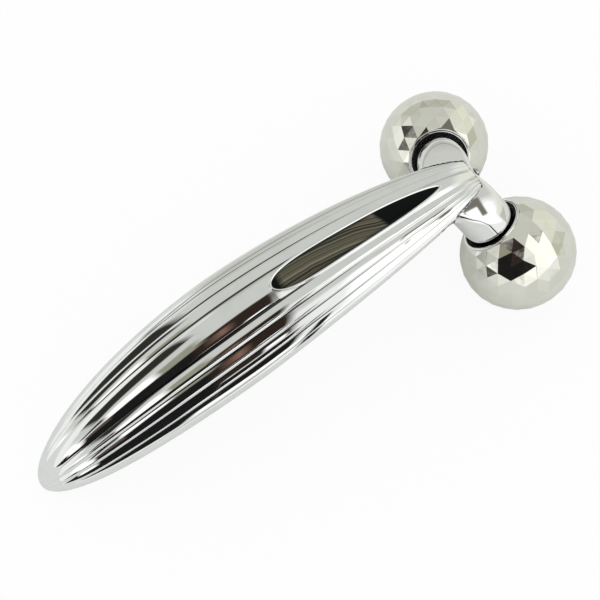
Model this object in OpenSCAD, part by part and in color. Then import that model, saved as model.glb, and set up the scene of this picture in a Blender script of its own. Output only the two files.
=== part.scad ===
// Facial toning device: a ribbed, curved handle with a dark window on its crest, a forked
// neck and two faceted rollers that spin on the ends of the fork.
// The device lies on its two rollers and the tip of its handle. +X runs from the tip of the
// handle to the rollers, +Y to the left roller, +Z up from the surface it lies on.

/* [Handle] */
// Length of the front half, from the head tip back to the widest section, along the spine
head_len = 86.2; // [78:0.2:110]
// Length of the rear half, from the widest section to the tail tip, along the spine
tail_len = 81.2; // [70:0.2:110]
// Width of the handle at its widest section
handle_w = 34.6; // [32:0.2:42]
// Thickness of the handle at its widest section
handle_t = 20.6; // [20:0.2:28]
// Radius of the arc that the handle's spine follows
spine_r = 263; // [240:1:500]
// How full the front half is: 2 is an ellipse, less is more pointed
head_bluntness = 1.5; // [1.4:0.1:2.2]
// Width of the head's blunt front edge
nose_w = 9.6; // [7:0.2:12]
// Wall of the two handle shells
shell_wall = 2.0; // [1.6:0.1:2.4]

/* [Ribs] */
// Angle of the smooth band along the crest, about the spine
band_angle = 32; // [26:1:40]
// Ribs on each side of the band, down to the seam
ribs_side = 5; // [3:1:8]
// Ribs on the lower shell, from seam to seam
ribs_lower = 12; // [8:1:16]
// Depth of the grooves between the ribs at the widest section
rib_depth = 0.5; // [0.2:0.05:0.8]

/* [Window] */
// Distance from the head tip to the window's front point
window_start = 13.5; // [13:0.5:20]
// Length of the window along the spine
window_len = 55; // [50:0.5:60]
// Angle that the window takes of the section
window_angle = 31; // [22:1:32]
// Thickness of the window
window_t = 1.2; // [0.8:0.1:1.4]
// Width of the ledge that the window lies on
window_ledge = 0.8; // [0.4:0.1:1.2]

/* [Neck] */
// Distance from the point where the arm axes meet to a roller's centre
arm_len = 36; // [35:0.5:42]
// Angle between the two arms
fork_angle = 77.2; // [76:0.2:90]
// Angle of the fork's plane below the horizontal
fork_pitch = 64.9; // [55:0.5:75]
// Diameter of an arm
arm_d = 15.2; // [13:0.1:15.4]
// How far the head tip lies ahead of the point where the arm axes meet
head_reach = 9.9; // [8.5:0.1:10.5]
// How far the head tip lies below the point where the arm axes meet
head_drop = 5.7; // [5:0.1:6.4]
// How far the neck's front part reaches back under the handle from the head tip
neck_len = 22; // [20:0.5:26]
// Radius of the rounded top of the fork
crown_r = 50; // [45:1:70]
// Diameter of the round stud where the ribs meet
stud_d = 2.6; // [1.8:0.1:3.4]

/* [Rollers] */
// Diameter of a roller over its corners
ball_d = 35; // [34:0.5:40]
// Facets along each edge of the icosahedron that a roller is cut from
facet_frequency = 5; // [3:1:6]
// Wall of a roller
ball_wall = 1.9; // [1.5:0.1:2.3]
// Bore of the roller's mouth
mouth_d = 18.2; // [17.8:0.1:18.6]
// Outer diameter of the bright ring's lip
ring_lip_d = 18.9; // [18.7:0.1:19.4]
// Thickness of the ring's lip
ring_lip_t = 0.5; // [0.3:0.1:0.8]
// Wall of the ring's sleeve
ring_wall = 0.5; // [0.4:0.05:0.6]
// How far the sleeve reaches into the mouth
ring_depth = 3.1; // [2.8:0.1:3.6]
// How far an arm's end reaches into the mouth
arm_entry = 2.1; // [1.6:0.1:2.4]

/* [Bearings] */
// Diameter of an axle
axle_d = 5; // [4:0.1:5.4]
// Length of the axle pressed into the arm
axle_grip = 11; // [8:0.5:12]
// Running clearance between axle and bush, radial
run_gap = 0.04; // [0.02:0.01:0.08]
// Outer diameter of a bush
bush_d = 8; // [7.4:0.1:8.6]
// Length of a bush under its flange
bush_len = 6; // [5:0.5:7]
// Diameter of a bush flange
bush_flange_d = 10.4; // [10:0.1:11]
// Thickness of a bush flange
bush_flange_t = 1; // [0.8:0.1:1.4]
// Outer diameter of the hub's body
hub_d = 12.8; // [12.4:0.2:13.6]
// Thickness of the hub's flange
hub_flange_t = 2.4; // [1.8:0.2:3]
// Distance between the flanged faces of the two bushes
bush_span = 18.6; // [17:0.2:19.4]
// Thickness of the black spacer between arm and hub
spacer_t = 0.8; // [0.6:0.1:1]
// Diameter of the black spacer
spacer_d = 12; // [11:0.2:13]
// Play between the spacer and the hub, and between the bush and the washer
end_play = 0.2; // [0.15:0.05:0.3]
// Diameter of the washer under the clip
washer_d = 9; // [8:0.2:10]
// Thickness of the washer under the clip
washer_t = 0.8; // [0.6:0.1:1]
// Thickness of the retaining clip
clip_t = 0.7; // [0.5:0.1:0.9]
// Outer diameter of the retaining clip
clip_d = 8.4; // [7.8:0.2:9]
// Depth of the clip's groove in the axle
clip_groove = 0.5; // [0.3:0.05:0.6]

/* [Inside the handle] */
// Length of the solar cell
cell_len = 40; // [34:1:42]
// Width of the solar cell
cell_w = 8; // [6:0.5:8.4]
// Thickness of the solar cell
cell_t = 1.1; // [0.8:0.1:1.4]
// Height of the cell's underside above the spine
cell_rise = 3; // [2.6:0.1:3.2]
// How far the cell leans down towards the head
cell_tilt = 5; // [3:0.5:6]
// Rim of the carrier around the cell
carrier_rim = 0.8; // [0.6:0.1:1]
// Floor of the carrier under the cell
carrier_floor = 1.8; // [1.6:0.1:1.9]
// Diameter of the carrier's legs and of the posts that they stand on
post_d = 4.4; // [4:0.1:5]
// Distance between the carrier's legs
leg_span = 17.5; // [15:0.5:19]
// Diameter of the screws
screw_d = 2; // [1.6:0.1:2.2]
// Diameter of the screw heads
screw_head_d = 3.8; // [3.4:0.1:4.2]
// Height of the screw heads
screw_head_t = 1.1; // [0.9:0.1:1.3]
// Length of the carrier's screws under the head
carrier_screw_len = 5; // [4:0.5:6]
// Length of the neck's screws under the head
neck_screw_len = 4.6; // [4.2:0.1:5]
// Length of the counterweight's screws under the head
weight_screw_len = 10; // [9:0.5:10.5]
// Length of the spring's screw under the head
spring_screw_len = 4; // [3:0.5:4.5]
// Length of the neck's tongue behind the neck
tongue_len = 15; // [13:0.5:18]
// Width of the neck's tongue
tongue_w = 8; // [6:0.5:8.5]
// Thickness of the neck's tongue
tongue_t = 2.4; // [2:0.1:2.5]
// How far the tongue's top lies below the spine
tongue_drop = 1.4; // [1.3:0.1:1.6]
// Distance between the two screws that hold the tongue
tongue_screw_span = 7; // [6:0.5:8]
// Length of the counterweight
weight_len = 40; // [30:1:46]
// Width of the counterweight
weight_w = 14; // [10:0.5:16]
// Thickness of the counterweight
weight_t = 7; // [5:0.5:8]
// Distance from the head tip to the middle of the counterweight
weight_at = 106; // [104:1:112]
// Distance between the counterweight's screws
weight_screw_span = 28; // [20:1:34]
// Diameter of the leads
lead_d = 1.2; // [0.8:0.1:1.4]
// Thickness of the contact spring's strip
spring_t = 0.5; // [0.4:0.1:0.6]
// Width of the contact spring's strip
spring_w = 4; // [3:0.5:5]
// Depth of the contact spring's base below the spine
spring_drop = 5; // [4.5:0.1:5.5]
// Distance from the head tip to the contact spring's screw
spring_at = 76; // [75:0.5:77]
// Thickness of the lead's ring terminal
terminal_t = 0.5; // [0.4:0.1:0.6]

/* [Hidden] */

LEFT = 1;
RIGHT = -1;
ROUND = 72;            // segments of a turned surface
RINGS = 40;            // sections along a handle shell
RIB_STEPS = 4;         // columns across a rib
INNER_COLUMNS = 12;    // columns around a shell's inside
CHROME = [0.80, 0.82, 0.82];
NICKEL = [0.80, 0.79, 0.73];
STEEL = [0.62, 0.63, 0.65];
BRASS = [0.72, 0.57, 0.28];
BLACK = [0.07, 0.07, 0.07];
DEG = 180 / PI;

// ---- the handle's skin -------------------------------------------------------------------

handle_len = head_len + tail_len;
fork_half = fork_angle / 2;
fork_z = ball_d / 2 + arm_len * cos(fork_half) * sin(fork_pitch);
head_z = fork_z - head_drop;
ball_x = arm_len * cos(fork_half) * cos(fork_pitch);

// Half thickness and half width of the section at distance s from the head tip. The thickness
// runs out to nothing at both ends, the width to nothing at the tail and to the nose at the head.
nose_share = pow(1 - pow(nose_w / handle_w, 2), 1 / head_bluntness);
function tail_share(s) = sqrt(max(0, 1 - pow((s - head_len) / tail_len, 2)));
function head_share(s, end) = sqrt(max(0, 1 - pow(end * (head_len - s) / head_len, head_bluntness)));
function half_t(s) = handle_t / 2 * (s < head_len ? head_share(s, 1) : tail_share(s));
function half_w(s) = handle_w / 2 * (s < head_len ? head_share(s, nose_share) : tail_share(s));

// The spine is an arc. Its slope at the head tip lets the tail rest on the surface that the
// rollers stand on, and is found by halving.
function rise(s, a) = spine_r * (cos(a + s / spine_r * DEG) - cos(a));
function lowest(a) = min([for (s = [handle_len * 0.8 : 0.5 : handle_len])
    head_z + rise(s, a) - half_t(s) * cos(a + s / spine_r * DEG)]);
function rest_slope(low, high, n) = n == 0 ? (low + high) / 2
    : let (mid = (low + high) / 2)
        lowest(mid) > 0 ? rest_slope(mid, high, n - 1) : rest_slope(low, mid, n - 1);
head_slope = rest_slope(-30, 30, 24);
function slope(s) = head_slope + s / spine_r * DEG;
function run(s) = spine_r * (sin(slope(s)) - sin(head_slope));

// The origin lies under the middle of the whole device
tail_x = min([for (s = [handle_len * 0.9 : 0.25 : handle_len])
    head_reach - run(s) - half_t(s) * sin(slope(s))]);
fork_x = -(tail_x + ball_x + ball_d / 2) / 2;

// Middle of the section at distance s from the head tip
function spine(s) = [fork_x + head_reach - run(s), 0, head_z + rise(s, head_slope)];
// A point of the smooth skin: a is the angle from the crest towards +Y, out is how far outside
function skin(s, a, out = 0) = let (
        n = [handle_t * sin(a), handle_w * cos(a)],
        y = half_w(s) * sin(a) + out * n[0] / norm(n),
        z = half_t(s) * cos(a) + out * n[1] / norm(n))
    spine(s) + [-z * sin(slope(s)), y, z * cos(slope(s))];

// Ribs: a column is an angle about the spine and the share of the groove's depth there
band_half = band_angle / 2;
BAND_COLUMNS = [-1, -0.86, -0.6, 0, 0.6, 0.86];
RIB_COLUMNS = [for (i = [0 : RIB_STEPS - 1]) 2 * i / RIB_STEPS - 1];
function ribs(start, total, n) = [for (k = [0 : n - 1], c = RIB_COLUMNS)
    [start + total / n * (k + (c + 1) / 2), c * c]];
upper_columns = concat(ribs(-90, 90 - band_half, ribs_side),
    [for (c = BAND_COLUMNS) [band_half * c, pow(abs(c), 8)]],
    ribs(band_half, 90 - band_half, ribs_side), [[90, 1]]);
lower_columns = concat(ribs(90, 180, ribs_lower), [[270, 1]]);
function smooth_columns(from) = [for (k = [0 : INNER_COLUMNS]) [from + 180 * k / INNER_COLUMNS, 0]];
function groove(s) = rib_depth * half_w(s) / (handle_w / 2);
function row(s, columns, out = 0) = [for (c = columns) skin(s, c[0], out - groove(s) * c[1])];

// Stations along the spine, closer together towards the two ends
FRONT_CUT = 0.15;   // how far behind the head tip the neck's nose begins
SHELL_FRONT = 1.4;  // how far behind it the upper shell begins
function stations(from) = concat([from],
    [for (i = [1 : RINGS - 1]) let (s = handle_len * (1 - cos(180 * i / RINGS)) / 2)
        if (s > from + 0.8) s]);
CAVITY_MIN = 1.2;   // half height inside below which the cavity ends

// Triangles of a flat outline, all from its first corner
function fan(loop) = [for (i = [1 : len(loop) - 2]) [loop[0], loop[i], loop[i + 1]]];
// Triangles with their corners the other way about, so that they face outwards
function turned_over(faces) = [for (f = faces) [f[0], f[2], f[1]]];

// Closed shell over half a turn of the section, between ribbed columns outside and a smooth
// lining inside. It starts at the distance front, with its cavity open there or not.
module half_shell(columns, from, front, open) {
    st = stations(front);
    n = len(st);
    m = len(columns);
    k = INNER_COLUMNS + 1;
    hollow = [for (i = [0 : n - 1]) if (half_t(st[i]) > shell_wall + CAVITY_MIN) i];
    i0 = open ? 0 : hollow[0];
    i1 = hollow[len(hollow) - 1];
    outer = [for (s = st) each row(s, columns)];
    inner = [for (i = [i0 : i1]) each row(st[i], smooth_columns(from), -shell_wall)];
    tail = n * m + (i1 - i0 + 1) * k;
    function o(i, j) = i * m + j;
    function in(i, j) = n * m + (i - i0) * k + j;
    outside = [for (i = [0 : n - 2], j = [0 : m - 2]) each
        [[o(i, j), o(i, j + 1), o(i + 1, j)], [o(i, j + 1), o(i + 1, j + 1), o(i + 1, j)]]];
    lining = [for (i = [i0 : i1 - 1], j = [0 : k - 2]) each
        [[in(i, j), in(i + 1, j), in(i, j + 1)], [in(i, j + 1), in(i + 1, j), in(i + 1, j + 1)]]];
    tail_tip = concat([for (j = [0 : m - 2]) [o(n - 1, j), o(n - 1, j + 1), tail]],
        [[o(n - 1, m - 1), o(n - 1, 0), tail]]);
    tail_wall = fan([for (j = [k - 1 : -1 : 0]) in(i1, j)]);
    function beside(j) = floor(j * (k - 1) / (m - 1));
    front_wall = open
        ? [for (j = [0 : m - 2]) each concat([[o(0, j + 1), o(0, j), in(0, beside(j))]],
            beside(j + 1) > beside(j) ? [[o(0, j + 1), in(0, beside(j)), in(0, beside(j + 1))]] : [])]
        : concat(fan([for (j = [m - 1 : -1 : 0]) o(0, j)]), fan([for (j = [0 : k - 1]) in(i0, j)]));
    seam = [for (i = [0 : n - 2]) each i >= i0 && i < i1
        ? concat(fan([o(i, 0), o(i + 1, 0), in(i + 1, 0), in(i, 0)]),
            fan([o(i + 1, m - 1), o(i, m - 1), in(i, k - 1), in(i + 1, k - 1)]))
        : i + 1 == i0
        ? fan([o(i, m - 1), o(i, 0), o(i + 1, 0), in(i + 1, 0), in(i + 1, k - 1), o(i + 1, m - 1)])
        : i == i1
        ? fan([o(i + 1, m - 1), o(i, m - 1), in(i, k - 1), in(i, 0), o(i, 0), o(i + 1, 0)])
        : fan([o(i, m - 1), o(i, 0), o(i + 1, 0), o(i + 1, m - 1)])];
    polyhedron(points = concat(outer, inner, [spine(handle_len)]),
        faces = turned_over(concat(outside, lining, tail_tip, tail_wall, front_wall, seam)));
}

// Solid half of the smooth handle, from near the head tip back to the distance end
CORE_RINGS = 10;
module half_core(from, end, out = 0) {
    st = [for (i = [0 : CORE_RINGS]) FRONT_CUT + (end - FRONT_CUT) * pow(i / CORE_RINGS, 1.6)];
    m = INNER_COLUMNS + 1;
    function o(i, j) = i * m + j;
    polyhedron(points = [for (s = st) each row(s, smooth_columns(from), out)],
        faces = turned_over(concat(
            [for (i = [0 : CORE_RINGS - 1], j = [0 : m - 2]) each
                [[o(i, j), o(i, j + 1), o(i + 1, j)], [o(i, j + 1), o(i + 1, j + 1), o(i + 1, j)]]],
            [for (i = [0 : CORE_RINGS - 1]) each fan([o(i, m - 1), o(i, 0), o(i + 1, 0), o(i + 1, m - 1)])],
            fan([for (j = [m - 1 : -1 : 0]) o(0, j)]),
            fan([for (j = [0 : m - 1]) o(CORE_RINGS, j)]))));
}

// Stands a piece in the section at distance s: x runs along the spine to the head, z to the crest
module at_spine(s) {
    translate(spine(s)) rotate([0, -slope(s), 0]) children();
}

// ---- window ------------------------------------------------------------------------------

WINDOW_SINK = 0.15;     // how far the window lies below the skin
WINDOW_GAP = 0.05;      // clearance around the window
WINDOW_RINGS = 20;
WINDOW_COLUMNS = 6;
WINDOW_HEAD_FULLNESS = 2.6; // 2 would make its end towards the head elliptical
WINDOW_TAIL_FULLNESS = 5;   // its end towards the tail is blunter
OPENING_MARGIN = 1;     // how far a cut runs past the shell's two faces

// Almond-shaped block that follows the skin, grown by edge all round, from low to high off the skin
module almond(edge, low, high) {
    n = WINDOW_RINGS;
    m = WINDOW_COLUMNS;
    last = n - 1;
    function share(i) = (1 - cos(180 * i / n)) / 2;
    function fullness(i) = 2 * i < n ? WINDOW_HEAD_FULLNESS : WINDOW_TAIL_FULLNESS;
    function s(i) = window_start - edge + (window_len + 2 * edge) * share(i);
    function reach(i) = (window_angle / 2 + edge / half_w(s(i)) * DEG)
        * sqrt(max(0, 1 - pow(abs(2 * share(i) - 1), fullness(i))));
    function line(i, out) = [for (j = [0 : m]) skin(s(i), reach(i) * (2 * j / m - 1), out)];
    function top(i, j) = (i - 1) * 2 * (m + 1) + j;
    function low(i, j) = top(i, j) + m + 1;
    e = (n - 1) * 2 * (m + 1);
    points = concat([for (i = [1 : last]) each concat(line(i, high), line(i, low))],
        [skin(s(0), 0, high), skin(s(0), 0, low), skin(s(n), 0, high), skin(s(n), 0, low)]);
    faces = concat(
        [for (i = [1 : last - 1], j = [0 : m - 1]) each [
            [top(i, j), top(i, j + 1), top(i + 1, j)], [top(i, j + 1), top(i + 1, j + 1), top(i + 1, j)],
            [low(i, j), low(i + 1, j), low(i, j + 1)], [low(i, j + 1), low(i + 1, j), low(i + 1, j + 1)]]],
        [for (i = [1 : last - 1]) each [
            [top(i, 0), top(i + 1, 0), low(i, 0)], [top(i + 1, 0), low(i + 1, 0), low(i, 0)],
            [top(i, m), low(i, m), top(i + 1, m)], [top(i + 1, m), low(i, m), low(i + 1, m)]]],
        [for (j = [0 : m - 1]) each [
            [top(1, j + 1), top(1, j), e], [low(1, j), low(1, j + 1), e + 1],
            [top(last, j), top(last, j + 1), e + 2], [low(last, j + 1), low(last, j), e + 3]]],
        [[e, top(1, 0), low(1, 0)], [e, low(1, 0), e + 1],
         [e, low(1, m), top(1, m)], [e, e + 1, low(1, m)],
         [e + 2, low(last, 0), top(last, 0)], [e + 2, e + 3, low(last, 0)],
         [e + 2, top(last, m), low(last, m)], [e + 2, low(last, m), e + 3]]);
    polyhedron(points = points, faces = turned_over(faces));
}

module solar_window() {
    color([0.09, 0.09, 0.08]) almond(0, -WINDOW_SINK - window_t, -WINDOW_SINK);
}

// ---- fixing ------------------------------------------------------------------------------

SLOT_W = 0.6;   // width and depth of a screw's cross slot

// Screw with its head's underside at z = 0
module screw(length) {
    difference() {
        union() {
            translate([0, 0, -length]) cylinder(d = screw_d, h = length, $fn = 24);
            cylinder(d = screw_head_d, h = screw_head_t, $fn = 32);
        }
        for (turn = [0, 90]) rotate([0, 0, turn])
            translate([-screw_head_d / 3, -SLOT_W / 2, screw_head_t - SLOT_W])
                cube([screw_head_d * 2 / 3, SLOT_W, 2 * SLOT_W]);
    }
}

// Post on the lower shell's inside, or the screw hole in it, in the frame of the section at base:
// x is its place there, z its top and depth its hole's depth
module post(base, x, z, depth, hole) {
    root = -half_t(base - x) + shell_wall / 2 - x * x / (2 * spine_r);
    if (hole) translate([x, 0, z - depth]) cylinder(d = screw_d, h = depth + 1, $fn = 24);
    else translate([x, 0, root]) cylinder(d = post_d, h = z - root, $fn = 32);
}

tongue_at = neck_len + tongue_len / 2;
tongue_screws = [-tongue_screw_span / 2, tongue_screw_span / 2];
tongue_seat = -tongue_drop - tongue_t;
weight_screw_places = [-weight_screw_span / 2, weight_screw_span / 2];
weight_seat = -weight_t / 2;
cell_at = window_start + window_len / 2;
LEG_FRONT = 1.5;     // how far the front leg stands ahead of the cell's middle
LEG_FOOT = -0.5;     // height of the legs' feet in the cell's section
HEAD_SINK = 0.3;     // how far the carrier's screw heads lie below its floor
leg_places = [LEG_FRONT - leg_span, LEG_FRONT];
function leg_seat(x) = cell_rise - x * tan(cell_tilt) - HEAD_SINK - screw_head_t;
SPRING_SCREW_X = -0.5;

module posts(hole) {
    at_spine(tongue_at) for (x = tongue_screws)
        post(tongue_at, x, tongue_seat, neck_screw_len - tongue_t, hole);
    at_spine(weight_at) for (x = weight_screw_places)
        post(weight_at, x, weight_seat, weight_screw_len - weight_t, hole);
    at_spine(cell_at) for (x = leg_places)
        post(cell_at, x, LEG_FOOT, LEG_FOOT - leg_seat(x) + carrier_screw_len, hole);
    at_spine(spring_at)
        post(spring_at, SPRING_SCREW_X, -spring_drop - spring_t / 2, spring_screw_len - spring_t, hole);
}

// ---- shells ------------------------------------------------------------------------------

module upper_shell() {
    color(CHROME) difference() {
        half_shell(upper_columns, -90, SHELL_FRONT, false);
        almond(WINDOW_GAP, -WINDOW_SINK - window_t, OPENING_MARGIN);
        almond(-window_ledge, -shell_wall - OPENING_MARGIN, OPENING_MARGIN);
    }
}

module lower_shell() {
    color(CHROME) difference() {
        union() {
            half_shell(lower_columns, 90, neck_len, true);
            posts(false);
        }
        posts(true);
    }
}

// ---- neck --------------------------------------------------------------------------------

// Distances along an arm's axis from the point where the two axes meet
MOUTH_SINK = 0.25;   // how far the roller's flat mouth lies inside its ball
mouth_at = arm_len - sqrt(pow(ball_d / 2, 2) - pow(ring_lip_d / 2, 2)) + MOUTH_SINK;
arm_end = mouth_at + arm_entry;
hub_at = arm_end + spacer_t + end_play;
ARM_START = 2;
CROWN_BACK = 3;      // how far the crown's top lies behind the meeting point
CROWN_DROP = 2.7;    // how far it lies below that point
CROWN_GAP = 0.16;    // clearance between the crown and the upper shell
WEB_R = 5;           // rounding of the web's root under the handle
WEB_ROOT = [-5.5, 3, -6.6];
WEB_AT = 12.5;       // where the web runs out on the arm
TONGUE_ROOT = 3;     // how far the tongue is let into the neck

// Stands a piece on an arm's axis: z runs along it towards the roller
module along_arm(side) {
    translate([fork_x, 0, fork_z]) rotate([0, 90 + fork_pitch, 0]) rotate([-side * fork_half, 0, 0])
        children();
}

module arm(side) {
    along_arm(side) translate([0, 0, ARM_START]) cylinder(d = arm_d, h = arm_end - ARM_START, $fn = ROUND);
}

// Web between an arm and the handle's underside
module web(side) {
    hull() {
        along_arm(side) translate([0, 0, WEB_AT]) cylinder(d = arm_d - 0.4, h = 0.5, $fn = 32);
        translate([fork_x + WEB_ROOT[0], side * WEB_ROOT[1], fork_z + WEB_ROOT[2]])
            sphere(r = WEB_R, $fn = 24);
    }
}

module yoke() {
    color(CHROME) difference() {
        union() {
            difference() {
                intersection() {
                    union() for (side = [LEFT, RIGHT]) {
                        arm(side);
                        web(side);
                    }
                    translate([fork_x - CROWN_BACK, 0, fork_z - CROWN_DROP - crown_r])
                        sphere(r = crown_r, $fn = ROUND * 2);
                }
                half_core(-90, neck_len + tongue_len, CROWN_GAP);
            }
            half_core(90, neck_len);
            intersection() {
                half_core(-90, neck_len);
                at_spine(SHELL_FRONT) translate([0, -handle_w / 2, -handle_t / 2])
                    cube([handle_w, handle_w, handle_t]);
            }
            translate(spine(0)) rotate([0, 0, 180]) sphere(d = stud_d, $fn = 48);
            at_spine(tongue_at) translate([-tongue_len / 2, -tongue_w / 2, tongue_seat])
                cube([tongue_len + TONGUE_ROOT, tongue_w, tongue_t]);
        }
        for (side = [LEFT, RIGHT]) along_arm(side) translate([0, 0, arm_end - axle_grip])
            cylinder(d = axle_d, h = axle_grip + 1, $fn = ROUND);
        at_spine(tongue_at) for (x = tongue_screws) translate([x, 0, tongue_seat - 1])
            cylinder(d = screw_d, h = tongue_t + 2, $fn = 24);
    }
}

module neck_screws() {
    color(STEEL) at_spine(tongue_at) {
        translate([tongue_screws[0], 0, -tongue_drop + terminal_t]) screw(neck_screw_len + terminal_t);
        translate([tongue_screws[1], 0, -tongue_drop]) screw(neck_screw_len);
    }
}

// ---- inside the handle -------------------------------------------------------------------

module cell_frame() {
    at_spine(cell_at) translate([0, 0, cell_rise]) rotate([0, cell_tilt, 0]) children();
}

module solar_cell() {
    color([0.10, 0.09, 0.12]) cell_frame() translate([-cell_len / 2, -cell_w / 2, 0])
        cube([cell_len, cell_w, cell_t]);
}

module cell_carrier() {
    color(BLACK) difference() {
        union() {
            cell_frame() difference() {
                translate([-cell_len / 2 - carrier_rim, -cell_w / 2 - carrier_rim, -carrier_floor])
                    cube([cell_len + 2 * carrier_rim, cell_w + 2 * carrier_rim, carrier_floor + cell_t]);
                translate([-cell_len / 2, -cell_w / 2, 0]) cube([cell_len, cell_w, cell_t + 1]);
            }
            at_spine(cell_at) for (x = leg_places) translate([x, 0, LEG_FOOT])
                cylinder(d = post_d, h = leg_seat(x) - LEG_FOOT, $fn = 32);
        }
        at_spine(cell_at) for (x = leg_places) {
            translate([x, 0, LEG_FOOT - 1]) cylinder(d = screw_d, h = handle_t, $fn = 24);
            translate([x, 0, leg_seat(x)]) cylinder(d = screw_head_d, h = handle_t, $fn = 32);
        }
    }
}

module carrier_screws() {
    color(STEEL) at_spine(cell_at) for (x = leg_places) translate([x, 0, leg_seat(x)])
        screw(carrier_screw_len);
}

WEIGHT_CHAMFER = 2;

module counterweight() {
    x = weight_len / 2;
    y = weight_w / 2;
    c = WEIGHT_CHAMFER;
    color(STEEL) at_spine(weight_at) difference() {
        translate([0, 0, weight_seat]) linear_extrude(weight_t) polygon([
            [-x + c, -y], [x - c, -y], [x, -y + c], [x, y - c],
            [x - c, y], [-x + c, y], [-x, y - c], [-x, -y + c]]);
        for (place = weight_screw_places) translate([place, 0, weight_seat - 1])
            cylinder(d = screw_d, h = weight_t + 2, $fn = 24);
    }
}

module weight_screws() {
    color(STEEL) at_spine(weight_at) for (x = weight_screw_places)
        translate([x, 0, weight_seat + weight_t]) screw(weight_screw_len);
}

TERMINAL_RING_D = 4.6;
TERMINAL_TAB_W = 1.6;
TERMINAL_REACH = 5;

module lead_terminal() {
    color(BRASS) at_spine(tongue_at) translate([tongue_screws[0], 0, -tongue_drop]) difference() {
        union() {
            cylinder(d = TERMINAL_RING_D, h = terminal_t, $fn = 32);
            translate([-TERMINAL_TAB_W / 2, 0, 0]) cube([TERMINAL_TAB_W, TERMINAL_REACH, terminal_t]);
        }
        translate([0, 0, -1]) cylinder(d = screw_d, h = terminal_t + 2, $fn = 24);
    }
}

// C-shaped strip screwed to the lower shell, whose top strip touches the upper shell's plating
SPRING_LEG = 3.5;      // how far its two straight strips reach either way of its middle
SPRING_STEPS = 12;
spring_edge = spring_w / 2 / (half_w(spring_at) - shell_wall);
spring_top = (half_t(spring_at) - shell_wall) * sqrt(1 - spring_edge * spring_edge) - spring_t / 2;
spring_r = (spring_top + spring_drop - spring_t / 2) / 2;
module contact_spring() {
    function bend(r) = [for (i = [0 : SPRING_STEPS]) let (a = -90 + 180 * i / SPRING_STEPS)
        [SPRING_LEG + r * cos(a), spring_r - spring_drop + r * sin(a)]];
    outer = bend(spring_r + spring_t / 2);
    inner = bend(spring_r - spring_t / 2);
    strip = concat([[-SPRING_LEG, outer[0][1]]], outer, [[-SPRING_LEG, outer[SPRING_STEPS][1]]],
        [[-SPRING_LEG, inner[SPRING_STEPS][1]]], [for (i = [SPRING_STEPS : -1 : 0]) inner[i]],
        [[-SPRING_LEG, inner[0][1]]]);
    color(BRASS) at_spine(spring_at) difference() {
        rotate([90, 0, 0]) translate([0, 0, -spring_w / 2]) linear_extrude(spring_w) polygon(strip);
        translate([SPRING_SCREW_X, 0, -spring_drop - 1]) cylinder(d = screw_d, h = 2, $fn = 24);
    }
}

module spring_screw() {
    color(STEEL) at_spine(spring_at) translate([SPRING_SCREW_X, 0, -spring_drop + spring_t / 2])
        screw(spring_screw_len);
}

// Leads: a round tube swept along a smooth curve through points in the cell's section
LEAD_SIDES = 8;
LEAD_STEPS = 4;
LEAD_ROOM = 1.2;       // how far the red lead keeps off the carrier
LEAD_LIFT = 0.45;      // how far the black lead's end lies above the spring's base
cell_end = -cell_len / 2 - carrier_rim;
lead_lane = cell_w / 2 + carrier_rim + lead_d / 2 + LEAD_ROOM;
terminal_x = cell_at - tongue_at + tongue_screws[0];
terminal_z = -tongue_drop + terminal_t / 2 - terminal_x * terminal_x / (2 * spine_r);
spring_x = cell_at - spring_at;
spring_z = -spring_drop + LEAD_LIFT - spring_x * spring_x / (2 * spine_r);
red_route = [[cell_end - 0.6, 2, cell_rise + 1.6], [cell_end - 2.2, 3, cell_rise + 0.6],
    [cell_end - 2.2, 5, cell_rise - 2.2], [cell_end + 2.8, lead_lane, -1],
    [cell_end / 3, lead_lane + 0.6, -2], [terminal_x - 7, lead_lane + 0.4, -2.2],
    [terminal_x - 2, lead_lane + 0.3, terminal_z - 0.5], [terminal_x, lead_lane - 0.2, terminal_z - 0.1],
    [terminal_x + 0.1, TERMINAL_REACH + 0.1, terminal_z]];
black_route = [[cell_end - 0.6, -2, cell_rise + 1.6], [cell_end - 2.4, -3, cell_rise + 0.4],
    [cell_end - 4.2, -4.4, 0], [spring_x + 6, -5.4, spring_z + 3], [spring_x + 2.5, -4.7, spring_z + 0.75],
    [spring_x + 0.6, -3.4, spring_z + 0.05], [spring_x + 0.4, -spring_w / 2 - 0.1, spring_z]];

function curve(p, i, t) = let (
        a = p[max(i - 1, 0)], b = p[i], c = p[i + 1], d = p[min(i + 2, len(p) - 1)])
    (2 * b + (c - a) * t + (2 * a - 5 * b + 4 * c - d) * t * t + (3 * b - a - 3 * c + d) * t * t * t) / 2;
function smooth(p) = concat(
    [for (i = [0 : len(p) - 2], k = [0 : LEAD_STEPS - 1]) curve(p, i, k / LEAD_STEPS)], [p[len(p) - 1]]);
function unit(v) = v / norm(v);

module lead(route) {
    p = smooth(route);
    n = len(p);
    tangents = [for (i = [0 : n - 1]) unit(p[min(i + 1, n - 1)] - p[max(i - 1, 0)])];
    points = [for (i = [0 : n - 1]) let (u = unit(cross(tangents[i], [0, 0.6, 1])), v = cross(u, tangents[i]))
        each [for (k = [0 : LEAD_SIDES - 1]) let (a = 360 * k / LEAD_SIDES)
            p[i] + lead_d / 2 * (cos(a) * u + sin(a) * v)]];
    function q(i, k) = i * LEAD_SIDES + k % LEAD_SIDES;
    polyhedron(points = points, faces = concat(
        [for (i = [0 : n - 2], k = [0 : LEAD_SIDES - 1]) each
            [[q(i, k), q(i, k + 1), q(i + 1, k)], [q(i, k + 1), q(i + 1, k + 1), q(i + 1, k)]]],
        [[for (k = [LEAD_SIDES - 1 : -1 : 0]) q(0, k)], [for (k = [0 : LEAD_SIDES - 1]) q(n - 1, k)]]));
}

module red_lead() {
    color([0.65, 0.08, 0.07]) at_spine(cell_at) lead(red_route);
}

module black_lead() {
    color(BLACK) at_spine(cell_at) lead(black_route);
}

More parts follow.
